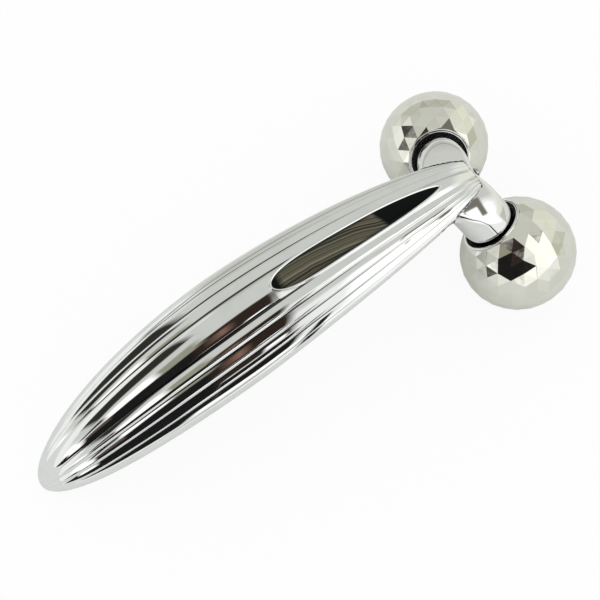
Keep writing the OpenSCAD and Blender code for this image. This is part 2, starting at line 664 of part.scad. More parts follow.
// ---- rollers -----------------------------------------------------------------------------

// Distances along the arm's axis
outer_bush_end = hub_at + bush_flange_t + bush_len;
hub_end = hub_at + bush_span;
inner_bush_start = hub_end - bush_flange_t - bush_len;
washer_at = hub_end + end_play;
clip_at = washer_at + washer_t;
AXLE_TAIL = 0.9;        // how far the axle runs on past its clip
axle_end = clip_at + clip_t + AXLE_TAIL;
RELIEF_D = 6.4;         // bore of the hub between its bushes
SOCKET_WALL = 1.4;      // wall of the roller's inner socket for the hub
SOCKET_BACK = 2;        // how far the socket reaches back over the hub
COLLAR_WALL = 1.3;      // wall of the roller's collar behind its mouth
inner_r = ball_d / 2 - ball_wall;

module turned(radius, from, to) {
    translate([0, 0, from]) cylinder(r = radius, h = to - from, $fn = ROUND);
}

module axle(side) {
    color(STEEL) along_arm(side) difference() {
        turned(axle_d / 2, arm_end - axle_grip, axle_end);
        difference() {
            turned(axle_d, clip_at, clip_at + clip_t);
            turned(axle_d / 2 - clip_groove, clip_at - 1, axle_end);
        }
    }
}

module spacer(side) {
    color(BLACK) along_arm(side) difference() {
        turned(spacer_d / 2, arm_end, arm_end + spacer_t);
        turned(axle_d / 2, arm_end - 1, hub_at);
    }
}

module bush(side, from, flange_from) {
    color(BRASS) along_arm(side) difference() {
        union() {
            turned(bush_d / 2, from, from + bush_len + bush_flange_t);
            turned(bush_flange_d / 2, flange_from, flange_from + bush_flange_t);
        }
        turned(axle_d / 2 + run_gap, from - 1, from + bush_len + bush_flange_t + 1);
    }
}

module hub(side) {
    color(BLACK) along_arm(side) difference() {
        union() {
            turned(mouth_d / 2, hub_at, hub_at + hub_flange_t);
            turned(hub_d / 2, hub_at, hub_end);
        }
        turned(RELIEF_D / 2, hub_at - 1, hub_end + 1);
        turned(bush_d / 2, hub_at - 1, outer_bush_end);
        turned(bush_flange_d / 2, hub_at - 1, hub_at + bush_flange_t);
        turned(bush_d / 2, inner_bush_start, hub_end + 1);
        turned(bush_flange_d / 2, hub_end - bush_flange_t, hub_end + 1);
    }
}

module washer(side) {
    color(STEEL) along_arm(side) difference() {
        turned(washer_d / 2, washer_at, washer_at + washer_t);
        turned(axle_d / 2, washer_at - 1, clip_at + 1);
    }
}

CLIP_MOUTH = 3.6;       // how wide the clip is open

// Snap ring in the axle's groove, open on one side
module clip(side) {
    color(STEEL) along_arm(side) difference() {
        turned(clip_d / 2, clip_at, clip_at + clip_t);
        turned(axle_d / 2 - clip_groove, clip_at - 1, axle_end);
        translate([0, -CLIP_MOUTH / 2, clip_at - 1]) cube([clip_d, CLIP_MOUTH, clip_t + 2]);
    }
}

// Bright ring around the roller's mouth: a lip outside and a sleeve inside
module ring(side) {
    color(CHROME) along_arm(side) difference() {
        union() {
            turned(ring_lip_d / 2, mouth_at - ring_lip_t, mouth_at);
            turned(mouth_d / 2, mouth_at - ring_lip_t, mouth_at + ring_depth);
        }
        turned(mouth_d / 2 - ring_wall, mouth_at - 2 * ring_lip_t, mouth_at + ring_depth + 1);
    }
}

// Icosahedron whose faces are divided and pushed out to the ball's radius
GOLDEN = 1 / sqrt(5);
ICO = concat([[0, 0, 1]],
    [for (k = [0 : 4]) [2 * GOLDEN * cos(72 * k), 2 * GOLDEN * sin(72 * k), GOLDEN]],
    [for (k = [0 : 4]) [2 * GOLDEN * cos(72 * k + 36), 2 * GOLDEN * sin(72 * k + 36), -GOLDEN]],
    [[0, 0, -1]]);
ICO_FACES = [for (k = [0 : 4]) each let (j = (k + 1) % 5)
    [[0, 1 + k, 1 + j], [1 + k, 6 + k, 1 + j], [1 + j, 6 + k, 6 + j], [11, 6 + j, 6 + k]]];
function tidy(v) = [for (c = v) round(c * 1e6) / 1e6];
module faceted_ball(r, n) {
    per = (n + 1) * (n + 2) / 2;
    points = [for (f = ICO_FACES, i = [0 : n], j = [0 : i])
        tidy(r * unit((n - i) * ICO[f[0]] + (i - j) * ICO[f[1]] + j * ICO[f[2]]))];
    function at(k, i, j) = k * per + i * (i + 1) / 2 + j;
    faces = [for (k = [0 : 19]) each concat(
        [for (i = [1 : n], j = [0 : i - 1]) [at(k, i - 1, j), at(k, i, j + 1), at(k, i, j)]],
        [for (i = [2 : n], j = [1 : i - 1]) [at(k, i - 1, j - 1), at(k, i - 1, j), at(k, i, j)]])];
    polyhedron(points = points, faces = faces);
}

module ball(side) {
    socket_r = hub_d / 2 + SOCKET_WALL;
    collar_r = mouth_d / 2 + COLLAR_WALL;
    color(NICKEL) along_arm(side) difference() {
        union() {
            difference() {
                translate([0, 0, arm_len]) faceted_ball(ball_d / 2, facet_frequency);
                translate([0, 0, arm_len]) sphere(r = inner_r, $fn = ROUND);
            }
            turned(collar_r, arm_len - sqrt(inner_r * inner_r - collar_r * collar_r) - 1,
                hub_at + hub_flange_t);
            turned(socket_r, hub_end - SOCKET_BACK,
                arm_len + sqrt(inner_r * inner_r - socket_r * socket_r) + 0.5);
        }
        turned(ring_lip_d / 2 + 1, 0, mouth_at);
        turned(mouth_d / 2, 0, hub_at + hub_flange_t + 1);
        turned(hub_d / 2, hub_end - SOCKET_BACK - 1, arm_len + inner_r - 1);
    }
}

upper_shell();
lower_shell();
solar_window();
yoke();
solar_cell();
cell_carrier();
carrier_screws();
counterweight();
weight_screws();
neck_screws();
lead_terminal();
red_lead();
black_lead();
contact_spring();
spring_screw();
axle(LEFT);  // left_axle
spacer(LEFT);  // left_spacer
bush(LEFT, hub_at, hub_at);  // left_outer_bush
bush(LEFT, inner_bush_start, hub_end - bush_flange_t);  // left_inner_bush
hub(LEFT);  // left_hub
washer(LEFT);  // left_washer
clip(LEFT);  // left_clip
ball(LEFT);  // left_ball
ring(LEFT);  // left_ring
axle(RIGHT);  // right_axle
spacer(RIGHT);  // right_spacer
bush(RIGHT, hub_at, hub_at);  // right_outer_bush
bush(RIGHT, inner_bush_start, hub_end - bush_flange_t);  // right_inner_bush
hub(RIGHT);  // right_hub
washer(RIGHT);  // right_washer
clip(RIGHT);  // right_clip
ball(RIGHT);  // right_ball
ring(RIGHT);  // right_ring
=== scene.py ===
import math

import bmesh
import bpy
import numpy as np
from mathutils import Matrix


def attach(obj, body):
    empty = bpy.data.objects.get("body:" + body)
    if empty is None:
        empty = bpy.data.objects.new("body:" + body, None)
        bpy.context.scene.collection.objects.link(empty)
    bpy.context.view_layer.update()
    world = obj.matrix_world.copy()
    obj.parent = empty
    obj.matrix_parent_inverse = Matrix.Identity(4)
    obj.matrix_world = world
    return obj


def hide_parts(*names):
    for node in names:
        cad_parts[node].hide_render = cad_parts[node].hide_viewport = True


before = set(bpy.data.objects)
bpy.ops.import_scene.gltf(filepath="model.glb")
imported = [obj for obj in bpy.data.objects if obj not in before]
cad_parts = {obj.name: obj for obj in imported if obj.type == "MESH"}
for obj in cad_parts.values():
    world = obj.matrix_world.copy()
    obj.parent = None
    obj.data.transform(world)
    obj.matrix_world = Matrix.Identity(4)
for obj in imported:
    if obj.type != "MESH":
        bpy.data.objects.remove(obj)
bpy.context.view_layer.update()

# Sizes are in millimetres here, and every mesh is made in metres.
MM = 0.001
DEG = math.pi / 180

# ---------------------------------------------------------------- sizes of the device
# A place along the handle is measured on its spine from the head tip, an angle in its section from
# the crest, in degrees.
HEAD_LEN, TAIL_LEN = 86.2, 81.2
HANDLE_LEN = HEAD_LEN + TAIL_LEN
HANDLE_W, HANDLE_T, NOSE_W = 34.6, 20.6, 9.6
SPINE_R, HEAD_BLUNTNESS = 263.0, 1.5

# the shells: RIB_CREST is where a rib is highest, from -1 at its near groove to 1 at its far one
SHELL_WALL, SHELL_FRONT, SOLID_NOSE, SOLID_T = 2.0, 1.4, 5, 1.2
BAND_HALF, BAND_DEPTH, BAND_CROWN = 16.0, 0.5, 2.5
SIDE_RIBS, LOWER_RIBS = 5, 12
RIB_DEPTH, RIB_CREST, RIB_RISE, RIB_FALL = 0.65, 0.45, 1.25, 2.0
GROOVE_FADE = 0.6       # the power by which grooves lose depth where the handle narrows

# the window
WINDOW_START, WINDOW_LEN, WINDOW_HALF = 13.5, 55.0, 15.5
WINDOW_HEAD_FULLNESS, WINDOW_TAIL_FULLNESS = 2.6, 5.0
WINDOW_T, WINDOW_SINK, BEAD_R, BEAD_SINK = 1.2, 0.15, 0.48, 0.06
LENS_GAP, LENS_SHARE, LENS_CHAMFER = 0.05, 0.98, 0.15

# the neck: fillets and edges are the widths over which two surfaces run into each other
HEAD_REACH, HEAD_DROP, NECK_LEN = 9.9, 5.7, 22.0
FORK_HALF, FORK_PITCH = 38.6 * DEG, 64.9 * DEG
ARM_LEN, ARM_R, ARM_ENTRY = 36.0, 7.6, 2.1
AXLE_R, AXLE_GRIP = 2.5, 11.0
CROWN_R, CROWN_BACK, CROWN_DROP = 50.0, 3.0, 2.7
CROWN_GAP, STUD_R = 0.16, 1.3
ARM_EDGE, ARM_ROOT, FORK_FILLET, CROWN_EDGE = 0.6, 1.0, 1.6, 0.9
WEB_FILLET, WEB_FROM, WEB_FADE, WEB_DEPTH = 3.2, 3, 6, 1.5
TONGUE_MIDDLE, TONGUE_DROP = 28, 2.6
TONGUE_LEN, TONGUE_W, TONGUE_T = 18, 8, 2.4
TIP_PLACE, TIP_HALF = 0.02, 0.3     # the section never gets smaller than it is there

# the rollers
BALL_R, BALL_WALL = 17.5, 1.9
FACETS_PER_EDGE, FACET_BEVEL = 5, 0.055
MOUTH_R, MOUTH_SINK, MOUTH_CHAMFER = 9.1, 0.25, 0.15
RING_LIP_R, RING_LIP_T, RING_WALL, RING_DEPTH, RING_ROUND = 9.45, 0.5, 0.5, 3.1, 0.22
HUB_R, HUB_SPAN, HUB_FLANGE_T, HUB_GAP = 6.4, 18.6, 2.4, 1.0
SOCKET_WALL, SOCKET_SHORT, COLLAR_WALL, BORE_SHORT = 1.4, 2, 1.3, 1
CUT_AHEAD, CUT_ROUND = 12, 1.2      # how far the core's cut clears the mouth, ahead and round it

# ---------------------------------------------------------------- how finely the meshes are divided
BAND_STEPS, LINING_STEPS, RIB_STEPS = 12, 11, 14
# places along a shell: how many, how strongly they crowd, and over what length; ahead of the window
# the length is all that there is
TAIL_PLACES, NOSE_PLACES, AHEAD_PLACES = (24, 1.8, 12.0), (10, 1.5, 8.0), (16, 1.6)
LOWER_PLACES, WINDOW_PLACES, BEHIND_PLACES = 96, 90, 70
PLACE_GAP, WINDOW_PLACE_GAP = 1, 1.2
LENS_ROWS, LENS_COLUMNS, BEAD_STEPS, BEAD_SIDES = 80, 25, 120, 12
# the box of the neck's grid about the fork point, and the edge of its cells
NECK_LOW, NECK_HIGH, NECK_CELL = (-31.73, -23.0, -23.73), (16.0, 23.0, 3.0), 0.4
NECK_TURNS, NECK_EVENINGS, NECK_STEP = 6, 4, 0.3
BALL_STEPS, RING_STEPS, CAVITY_STEPS = 96, 128, 28
CAVITY_MARGIN = 0.6     # faces of the cavity lie this close to its radius, the facets don't

BODY_OF_SIDE = {1: "left_roller", -1: "right_roller"}
NAME_OF_SIDE = {1: "left", -1: "right"}

# ---------------------------------------------------------------- where things are
FORK_Z = BALL_R + ARM_LEN * math.cos(FORK_HALF) * math.sin(FORK_PITCH)
HEAD_Z = FORK_Z - HEAD_DROP


def tail_share(s):
    return np.sqrt(np.clip(1 - ((s - HEAD_LEN) / TAIL_LEN) ** 2, 0, 1))


def head_share(s, end):
    return np.sqrt(np.clip(1 - np.clip(end * (HEAD_LEN - s) / HEAD_LEN, 0, 1) ** HEAD_BLUNTNESS, 0, 1))


NOSE_SHARE = (1 - (NOSE_W / HANDLE_W) ** 2) ** (1 / HEAD_BLUNTNESS)


def half_t(s):
    return HANDLE_T / 2 * np.where(s < HEAD_LEN, head_share(s, 1), tail_share(s))


def half_w(s):
    return HANDLE_W / 2 * np.where(s < HEAD_LEN, head_share(s, NOSE_SHARE), tail_share(s))


def resting_slope():
    """The slope at the head tip, in radians, that lets the tail touch the table."""
    s = np.arange(HANDLE_LEN * 0.8, HANDLE_LEN, 0.5)
    low, high = -0.5, 0.5
    for _ in range(40):
        a = (low + high) / 2
        turned = a + s / SPINE_R
        under = HEAD_Z + SPINE_R * (np.cos(turned) - math.cos(a)) - half_t(s) * np.cos(turned)
        if under.min() > 0:
            low = a
        else:
            high = a
    return a


HEAD_SLOPE = resting_slope()


def slope(s):
    return HEAD_SLOPE + s / SPINE_R


def run(s):
    return SPINE_R * (np.sin(slope(s)) - math.sin(HEAD_SLOPE))


def rise(s):
    return SPINE_R * (np.cos(slope(s)) - math.cos(HEAD_SLOPE))


TAIL_END = np.arange(HANDLE_LEN * 0.9, HANDLE_LEN, 0.25)
TAIL_X = float((HEAD_REACH - run(TAIL_END) - half_t(TAIL_END) * np.sin(slope(TAIL_END))).min())
BALL_X = ARM_LEN * math.cos(FORK_HALF) * math.cos(FORK_PITCH)
FORK_X = -(TAIL_X + BALL_X + BALL_R) / 2
FORK = np.array([FORK_X, 0, FORK_Z])
MOUTH_AT = ARM_LEN - math.sqrt(BALL_R ** 2 - RING_LIP_R ** 2) + MOUTH_SINK
ARM_END = MOUTH_AT + ARM_ENTRY
HUB_AT = ARM_END + HUB_GAP


def skin(s, turn, out=0.0):
    """A point of the smooth handle and its outward normal. turn is in degrees from the crest."""
    s, turn, out = np.broadcast_arrays(np.asarray(s, float), np.asarray(turn, float), out)
    a = turn * DEG
    ny, nn = HANDLE_T * np.sin(a), HANDLE_W * np.cos(a)
    size = np.hypot(ny, nn)
    ny, nn = ny / size, nn / size
    y = half_w(s) * np.sin(a) + out * ny
    n = half_t(s) * np.cos(a) + out * nn
    sl = slope(s)
    point = np.stack([FORK_X + HEAD_REACH - run(s) - n * np.sin(sl), y,
                      HEAD_Z + rise(s) + n * np.cos(sl)], -1)
    normal = np.stack([-nn * np.sin(sl), ny, nn * np.cos(sl)], -1)
    return point, normal


STUD_AT = skin(0.0, 0.0)[0]


def groove_share(s):
    """How deep the grooves are there, as a share of their full depth."""
    return (half_w(s) / (HANDLE_W / 2)) ** GROOVE_FADE


def crowned(s, turn, out=0.0):
    """A point of the smooth band along the crest, whose sides fall away towards its grooves."""
    fall = BAND_DEPTH * groove_share(s) * np.clip(np.abs(turn) / BAND_HALF, 0, 1) ** BAND_CROWN
    return skin(s, turn, out - fall)[0]


def arm_direction(side):
    return np.array([math.cos(FORK_HALF) * math.cos(FORK_PITCH), side * math.sin(FORK_HALF),
                     -math.cos(FORK_HALF) * math.sin(FORK_PITCH)])


def arm_frame(side):
    """Axes at the fork point whose third runs along the arm to its roller."""
    z = arm_direction(side)
    x = np.cross([0, 1.0, 0], z)
    x /= np.linalg.norm(x)
    return np.stack([x, np.cross(z, x), z])


# ---------------------------------------------------------------- meshes
def new_object(name, data):
    thing = bpy.data.objects.new(name, data)
    bpy.context.scene.collection.objects.link(thing)
    return thing


def new_piece(name, points, faces, smooth=True):
    """An object at the origin from points in millimetres."""
    mesh = bpy.data.meshes.new(name)
    mesh.from_pydata((np.asarray(points) * MM).tolist(), [], [list(map(int, f)) for f in faces])
    mesh.validate()
    mesh.update()
    mesh.shade_smooth() if smooth else mesh.shade_flat()
    return new_object(name, mesh)


def clean_up(piece, distance=1e-7):
    """Merges points closer than distance in metres, drops faces with no area, turns all outwards."""
    bm = bmesh.new()
    bm.from_mesh(piece.data)
    bmesh.ops.remove_doubles(bm, verts=bm.verts, dist=distance)
    bmesh.ops.dissolve_degenerate(bm, edges=bm.edges, dist=distance)
    bmesh.ops.recalc_face_normals(bm, faces=bm.faces)
    bm.to_mesh(piece.data)
    bm.free()
    piece.data.update()
    return piece


def keep_result(piece):
    """Leaves what the piece's modifiers make as its plain mesh."""
    graph = bpy.context.evaluated_depsgraph_get()
    mesh = bpy.data.meshes.new_from_object(piece.evaluated_get(graph), depsgraph=graph)
    piece.modifiers.clear()
    mesh.name = piece.name
    piece.data = mesh
    return piece


def turned_piece(name, side, profile, steps):
    """A closed profile of (radius, distance along the arm) turned about the arm's axis."""
    axes = arm_frame(side)
    profile = np.asarray(profile, float)
    a = np.arange(steps) * 2 * math.pi / steps
    local = np.stack([np.outer(np.cos(a), profile[:, 0]), np.outer(np.sin(a), profile[:, 0]),
                      np.broadcast_to(profile[:, 1], (steps, len(profile)))], -1)
    points = FORK + local.reshape(-1, 3) @ axes
    n = len(profile)
    faces = [[i * n + j, i * n + (j + 1) % n, (i + 1) % steps * n + (j + 1) % n, (i + 1) % steps * n + j]
             for i in range(steps) for j in range(n)]
    return clean_up(new_piece(name, points, faces))


def rounded(corners, radius, steps=5):
    """A closed outline whose corners are rounded, each by as much as its sides allow."""
    corners = [np.array(c, float) for c in corners]
    out = []
    for before, corner, after in zip(corners[-1:] + corners[:-1], corners, corners[1:] + corners[:1]):
        u, v = before - corner, after - corner
        lu, lv = np.linalg.norm(u), np.linalg.norm(v)
        u, v = u / lu, v / lv
        half = math.acos(np.clip(u @ v, -1, 1)) / 2
        # corners on the axis and nearly straight ones stay sharp
        if corner[0] < 1e-6 or half > 1.5:
            out.append(corner)
            continue
        back = min(radius / math.tan(half), lu * 0.45, lv * 0.45)
        r = back * math.tan(half)
        centre = corner + (u + v) / np.linalg.norm(u + v) * r / math.sin(half)
        start, end = corner + u * back - centre, corner + v * back - centre
        sweep = math.pi - 2 * half
        turn = 1 if start[0] * end[1] - start[1] * end[0] > 0 else -1
        for k in range(steps + 1):
            a = turn * sweep * k / steps
            out.append(centre + [start[0] * math.cos(a) - start[1] * math.sin(a),
                                 start[0] * math.sin(a) + start[1] * math.cos(a)])
    return out


# ---------------------------------------------------------------- node trees
class Value:
    """A number in a node tree that varies over a surface; an expression on it adds its Math nodes."""

    def __init__(self, nodes, socket):
        self.nodes, self.socket = nodes, socket

    def maths(self, operation, *others):
        inputs = {f"_{i}": v for i, v in enumerate((self,) + others)}
        return self.nodes.value("ShaderNodeMath", {"operation": operation}, **inputs)

    def reflected(self, operation, first):
        return self.nodes.value("ShaderNodeMath", {"operation": operation}, _0=first, _1=self)

    def __add__(self, other):
        return self.maths("ADD", other)

    def __sub__(self, other):
        return self.maths("SUBTRACT", other)

    def __mul__(self, other):
        return self.maths("MULTIPLY", other)

    def __truediv__(self, other):
        return self.maths("DIVIDE", other)

    def __pow__(self, other):
        return self.maths("POWER", other)

    def __rsub__(self, other):
        return self.reflected("SUBTRACT", other)

    def __rtruediv__(self, other):
        return self.reflected("DIVIDE", other)

    def __rpow__(self, other):
        return self.reflected("POWER", other)

    __radd__, __rmul__ = __add__, __mul__

    def at_least(self, other):
        return self.maths("MAXIMUM", other)

    def at_most(self, other):
        return self.maths("MINIMUM", other)

    def clamped(self):
        return self.at_least(0.0).at_most(1.0)

    def size(self):
        return self.maths("ABSOLUTE")


class Nodes:
    """A node tree built a node at a time."""

    def __init__(self, tree):
        self.tree = tree

    def node(self, kind, settings=None, **values):
        """A new node. Its inputs are given by name, or by place as _0, _1 and so on."""
        node = self.tree.nodes.new(kind)
        for key, value in (settings or {}).items():
            if key == "stops":
                self.set_stops(node.color_ramp, value)
            else:
                setattr(node, key, value)
        for key, value in values.items():
            socket = node.inputs[int(key[1:]) if key[0] == "_" else key.replace("_", " ")]
            if isinstance(value, Value):
                value = value.socket
            if isinstance(value, bpy.types.NodeSocket):
                self.tree.links.new(value, socket)
            else:
                socket.default_value = value
        return node

    def value(self, kind, settings=None, **values):
        return Value(self, self.node(kind, settings, **values).outputs[0])

    @staticmethod
    def set_stops(ramp, stops):
        while len(ramp.elements) < len(stops):
            ramp.elements.new(1.0)
        for element, (place, colour) in zip(ramp.elements, stops):
            element.position = place
            element.color = (*colour, 1.0)


class Tree(Nodes):
    """A geometry node tree with named inputs."""

    def __init__(self, name, **inputs):
        super().__init__(bpy.data.node_groups.new(name, "GeometryNodeTree"))
        for way in ("INPUT", "OUTPUT"):
            self.tree.interface.new_socket("Geometry", in_out=way, socket_type="NodeSocketGeometry")
        self.identifiers = {}
        for key, value in inputs.items():
            kind = {int: "Int", float: "Float"}.get(type(value), "Material")
            socket = self.tree.interface.new_socket(key, in_out="INPUT", socket_type="NodeSocket" + kind)
            self.identifiers[key] = socket.identifier
        self.values = inputs
        self.inputs = self.tree.nodes.new("NodeGroupInput")

    def __getitem__(self, key):
        return Value(self, self.inputs.outputs[key])

    def stored(self, name, kind="FLOAT"):
        """A number or vector that the piece's mesh carries."""
        return self.value("GeometryNodeInputNamedAttribute", {"data_type": kind}, Name=name)

    def finish(self, geometry):
        solid = self.node("GeometryNodeRealizeInstances", Geometry=geometry)
        plated = self.node("GeometryNodeSetMaterial", Geometry=solid.outputs[0], Material=self["plating"])
        self.node("NodeGroupOutput", _0=plated.outputs[0])

    def apply(self, piece):
        """Runs the tree on a piece and leaves the result as its plain mesh."""
        modifier = piece.modifiers.new("shape", "NODES")
        modifier.node_group = self.tree
        for key, identifier in self.identifiers.items():
            modifier[identifier] = self.values[key]
        return keep_result(piece)


def rib_tree(band_half, rib_pitch, rib_crest, rib_rise, plating):
    """Sinks the skin between ribs: each point lies at its angle "turn" from the crest or keel."""
    tree = Tree("ribbed_skin", band_half=band_half, band_depth=BAND_DEPTH * MM, band_crown=BAND_CROWN,
                rib_pitch=rib_pitch, rib_depth=RIB_DEPTH * MM, rib_crest=rib_crest, rib_rise=rib_rise,
                rib_fall=RIB_FALL, plating=plating)
    fullness = tree.stored("fullness")
    turn = tree.stored("turn").size()
    place = (turn - tree["band_half"]) / tree["rib_pitch"]
    across = (place + 1e-4).maths("FRACT").maths("MULTIPLY_ADD", 2.0, -1.0)
    from_crest = across - tree["rib_crest"]
    near_part = from_crest / (-1.0 - tree["rib_crest"])
    far_part = from_crest / (1.0 - tree["rib_crest"])
    near_side = near_part.at_least(0.0) ** tree["rib_rise"]
    far_side = far_part.at_least(0.0) ** tree["rib_fall"]
    rib = near_side.at_least(far_side)
    band = (turn / tree["band_half"].at_least(0.01)) ** tree["band_crown"]
    on_band = place.maths("LESS_THAN", 0.0)
    profile = rib * (1.0 - on_band) + band.at_most(1.0) * on_band
    full_depth = tree["rib_depth"] - (tree["rib_depth"] - tree["band_depth"]) * on_band
    offset = tree.node("ShaderNodeVectorMath", {"operation": "SCALE"},
                       _0=tree.stored("inward", "FLOAT_VECTOR"), Scale=profile * full_depth * fullness)
    moved = tree.node("GeometryNodeSetPosition", Geometry=tree["Geometry"], Offset=offset.outputs[0])
    smooth = tree.node("GeometryNodeSetShadeSmooth", Geometry=moved.outputs[0], Shade_Smooth=True)
    # the material paints shade as dark lines at the bottom of each groove, from this stored depth
    marked = tree.node("GeometryNodeStoreNamedAttribute", {"data_type": "FLOAT", "domain": "POINT"},
                       Geometry=smooth.outputs[0], Name="groove", Value=profile * fullness.at_most(1.0))
    tree.finish(marked.outputs[0])
    return tree


def bead_tree(plating):
    """A round bead along the edges of the piece."""
    tree = Tree("rim_bead", bead_radius=BEAD_R * MM, bead_sides=BEAD_SIDES, plating=plating)
    path = tree.node("GeometryNodeMeshToCurve", Mesh=tree["Geometry"])
    profile = tree.node("GeometryNodeCurvePrimitiveCircle", Resolution=tree["bead_sides"],
                        Radius=tree["bead_radius"])
    tube = tree.node("GeometryNodeCurveToMesh", Curve=path.outputs[0], Profile_Curve=profile.outputs[0])
    smooth = tree.node("GeometryNodeSetShadeSmooth", Geometry=tube.outputs[0], Shade_Smooth=True)
    tree.finish(smooth.outputs[0])
    return tree


def store(piece, name, values, kind="FLOAT", domain="POINT"):
    attribute = piece.data.attributes.new(name, kind, domain)
    key = "vector" if kind == "FLOAT_VECTOR" else "value"
    attribute.data.foreach_set(key, np.ascontiguousarray(values, np.float32).ravel())


# ---------------------------------------------------------------- handle shells
def ends(count, power, reach):
    """Distances from 0 to reach that start close together."""
    return reach * (np.arange(count + 1) / count) ** power


def eased(count):
    """Shares from 0 to 1 that lie close together at both ends."""
    return (1 - np.cos(np.pi * np.arange(count + 1) / count)) / 2


def stations(front, window):
    """Places along the spine, closer together towards the ends and in the window."""
    rear = HANDLE_LEN - ends(*TAIL_PLACES)[::-1]
    stop = rear[0] - PLACE_GAP
    if not window:
        nose = front + ends(*NOSE_PLACES)
        return np.concatenate([nose, np.linspace(nose[-1] + PLACE_GAP, stop, LOWER_PLACES), rear])
    ahead = front + ends(*AHEAD_PLACES, WINDOW_START - front)[:-1]
    along = WINDOW_START + WINDOW_LEN * eased(WINDOW_PLACES)
    behind = np.linspace(along[-1] + WINDOW_PLACE_GAP, stop, BEHIND_PLACES)
    return np.concatenate([ahead, along, behind, rear])


def window_reach(s):
    """Half the window's width there, in degrees about the spine. Its tail end is the blunter one."""
    place = 2 * np.clip((s - WINDOW_START) / WINDOW_LEN, 0, 1) - 1
    fullness = np.where(place < 0, WINDOW_HEAD_FULLNESS, WINDOW_TAIL_FULLNESS)
    return WINDOW_HALF * np.sqrt(np.clip(1 - np.abs(place) ** fullness, 0, 1))


def rib_columns(start, pitch, count):
    return [start + pitch * (k + i / RIB_STEPS) for k in range(count) for i in range(RIB_STEPS)]


def lining_depth(s, front, open_front):
    """Depth of the lining under the skin, or -1 near a closed end, where the shell is solid."""
    hollow = s > (front - 1 if open_front else front + SOLID_NOSE)
    return np.where(hollow & (half_t(s) > SHELL_WALL + SOLID_T), SHELL_WALL, -1.0)


def about_spine(turns, side, keel):
    """Angles from the crest, of turns that are counted from the crest or, with keel, from the keel."""
    turns = np.array(turns)
    return (180 - turns if keel else turns) * side


def half_loops(places, side, outer_turns, edge_turns, depths, keel):
    """One side of a shell: a closed loop of skin, edge and lining at every place."""
    rows, turns, inward, fullness = [], [], [], []
    for s, edge, depth in zip(places, edge_turns, depths):
        outer = list(outer_turns)
        if not keel:
            outer += [edge + (BAND_HALF - edge) * k / BAND_STEPS for k in range(BAND_STEPS - 1, -1, -1)]
        lining = [edge + (90 - edge) * k / LINING_STEPS for k in range(LINING_STEPS + 1)]
        point, normal = skin(s, about_spine(outer, side, keel))
        under = about_spine(lining, side, keel)
        if depth > 0:
            inner, inner_normal = skin(s, under, -depth)
        else:
            inner, inner_normal = skin(s, np.zeros(len(under)), -half_t(s))
        rows.append(np.concatenate([point, inner]))
        turns.append(outer + [0.0] * len(lining))
        inward.append(-np.concatenate([normal, inner_normal]))
        fullness.append([float(groove_share(s))] * len(outer) + [0.0] * len(lining))
    return np.array(rows), np.array(turns), np.array(inward), np.array(fullness)


def shell_piece(name, keel, front, plating):
    """A half shell of the handle: skin with ribs, edges along the seam and window, and lining."""
    places = stations(front, not keel)
    edge_turns = np.zeros(len(places)) if keel else window_reach(places)
    depths = lining_depth(places, front, keel)
    count = LOWER_RIBS // 2 if keel else SIDE_RIBS
    start = 0.0 if keel else BAND_HALF
    pitch = (90 - start) / count
    outer_turns = [90.0] + rib_columns(start, pitch, count)[::-1]
    points, faces, turns, inward, fullness = [], [], [], [], []
    for side in (1, -1):
        rows, t, i, f = half_loops(places, side, outer_turns, edge_turns, depths, keel)
        n, m = rows.shape[:2]
        base = len(points)
        points.extend(rows.reshape(-1, 3))
        turns.extend(t.ravel())
        inward.extend(i.reshape(-1, 3))
        fullness.extend(f.ravel())
        edge_at = m - LINING_STEPS - 2
        for a in range(n - 1):
            here, there = base + a * m, base + (a + 1) * m
            for b in range(m):
                if b == edge_at and max(edge_turns[a], edge_turns[a + 1]) < 1e-6:
                    continue
                c = (b + 1) % m
                faces.append([here + b, here + c, there + c, there + b])
        # the front end is closed between skin and lining
        for b in range(LINING_STEPS):
            first, last = b * edge_at // LINING_STEPS, (b + 1) * edge_at // LINING_STEPS
            faces.append([base + k for k in range(first, last + 1)] + [base + m - 2 - b, base + m - 1 - b])
    piece = new_piece(name, points, faces)
    store(piece, "turn", turns)
    store(piece, "inward", inward, "FLOAT_VECTOR")
    store(piece, "fullness", fullness)
    clean_up(piece, 2e-7)
    crest, rise = (0.0, RIB_FALL) if keel else (RIB_CREST, RIB_RISE)
    return rib_tree(start, pitch, crest, rise, plating).apply(piece)


def window_piece(plating):
    """Lens of the window: a skin that follows the handle, with a small chamfer round its edge."""
    s = WINDOW_START + LENS_GAP + (WINDOW_LEN - 2 * LENS_GAP) * eased(LENS_ROWS)
    reach = window_reach(s) * LENS_SHARE
    across = np.sin(np.linspace(-1, 1, LENS_COLUMNS) * math.pi / 2)
    m = len(across)
    points, faces, along, turned = [], [], [], []
    for place, half in zip(s, reach):
        top = crowned(place, half * across * (1 - LENS_CHAMFER / WINDOW_HALF), -WINDOW_SINK)
        low = crowned(place, half * across, -WINDOW_SINK - WINDOW_T)
        edge = crowned(place, half * across[[0, -1]], -WINDOW_SINK - LENS_CHAMFER)
        points.extend(np.concatenate([top, low, edge]))
        along.extend([place] * (2 * m + 2))
        turned.extend(half * np.concatenate([across, across, across[[0, -1]]]))
    w = 2 * m + 2
    loop = list(range(m)) + [2 * m + 1] + [m + k for k in range(m - 1, -1, -1)] + [2 * m]
    for i in range(LENS_ROWS):
        for a, b in zip(loop, loop[1:] + loop[:1]):
            faces.append([i * w + a, i * w + b, (i + 1) * w + b, (i + 1) * w + a])
    piece = new_piece("smoked_lens", points, faces)
    store(piece, "along", along)
    store(piece, "turned", turned)
    clean_up(piece, 2e-6)
    piece.data.materials.append(plating)
    return piece


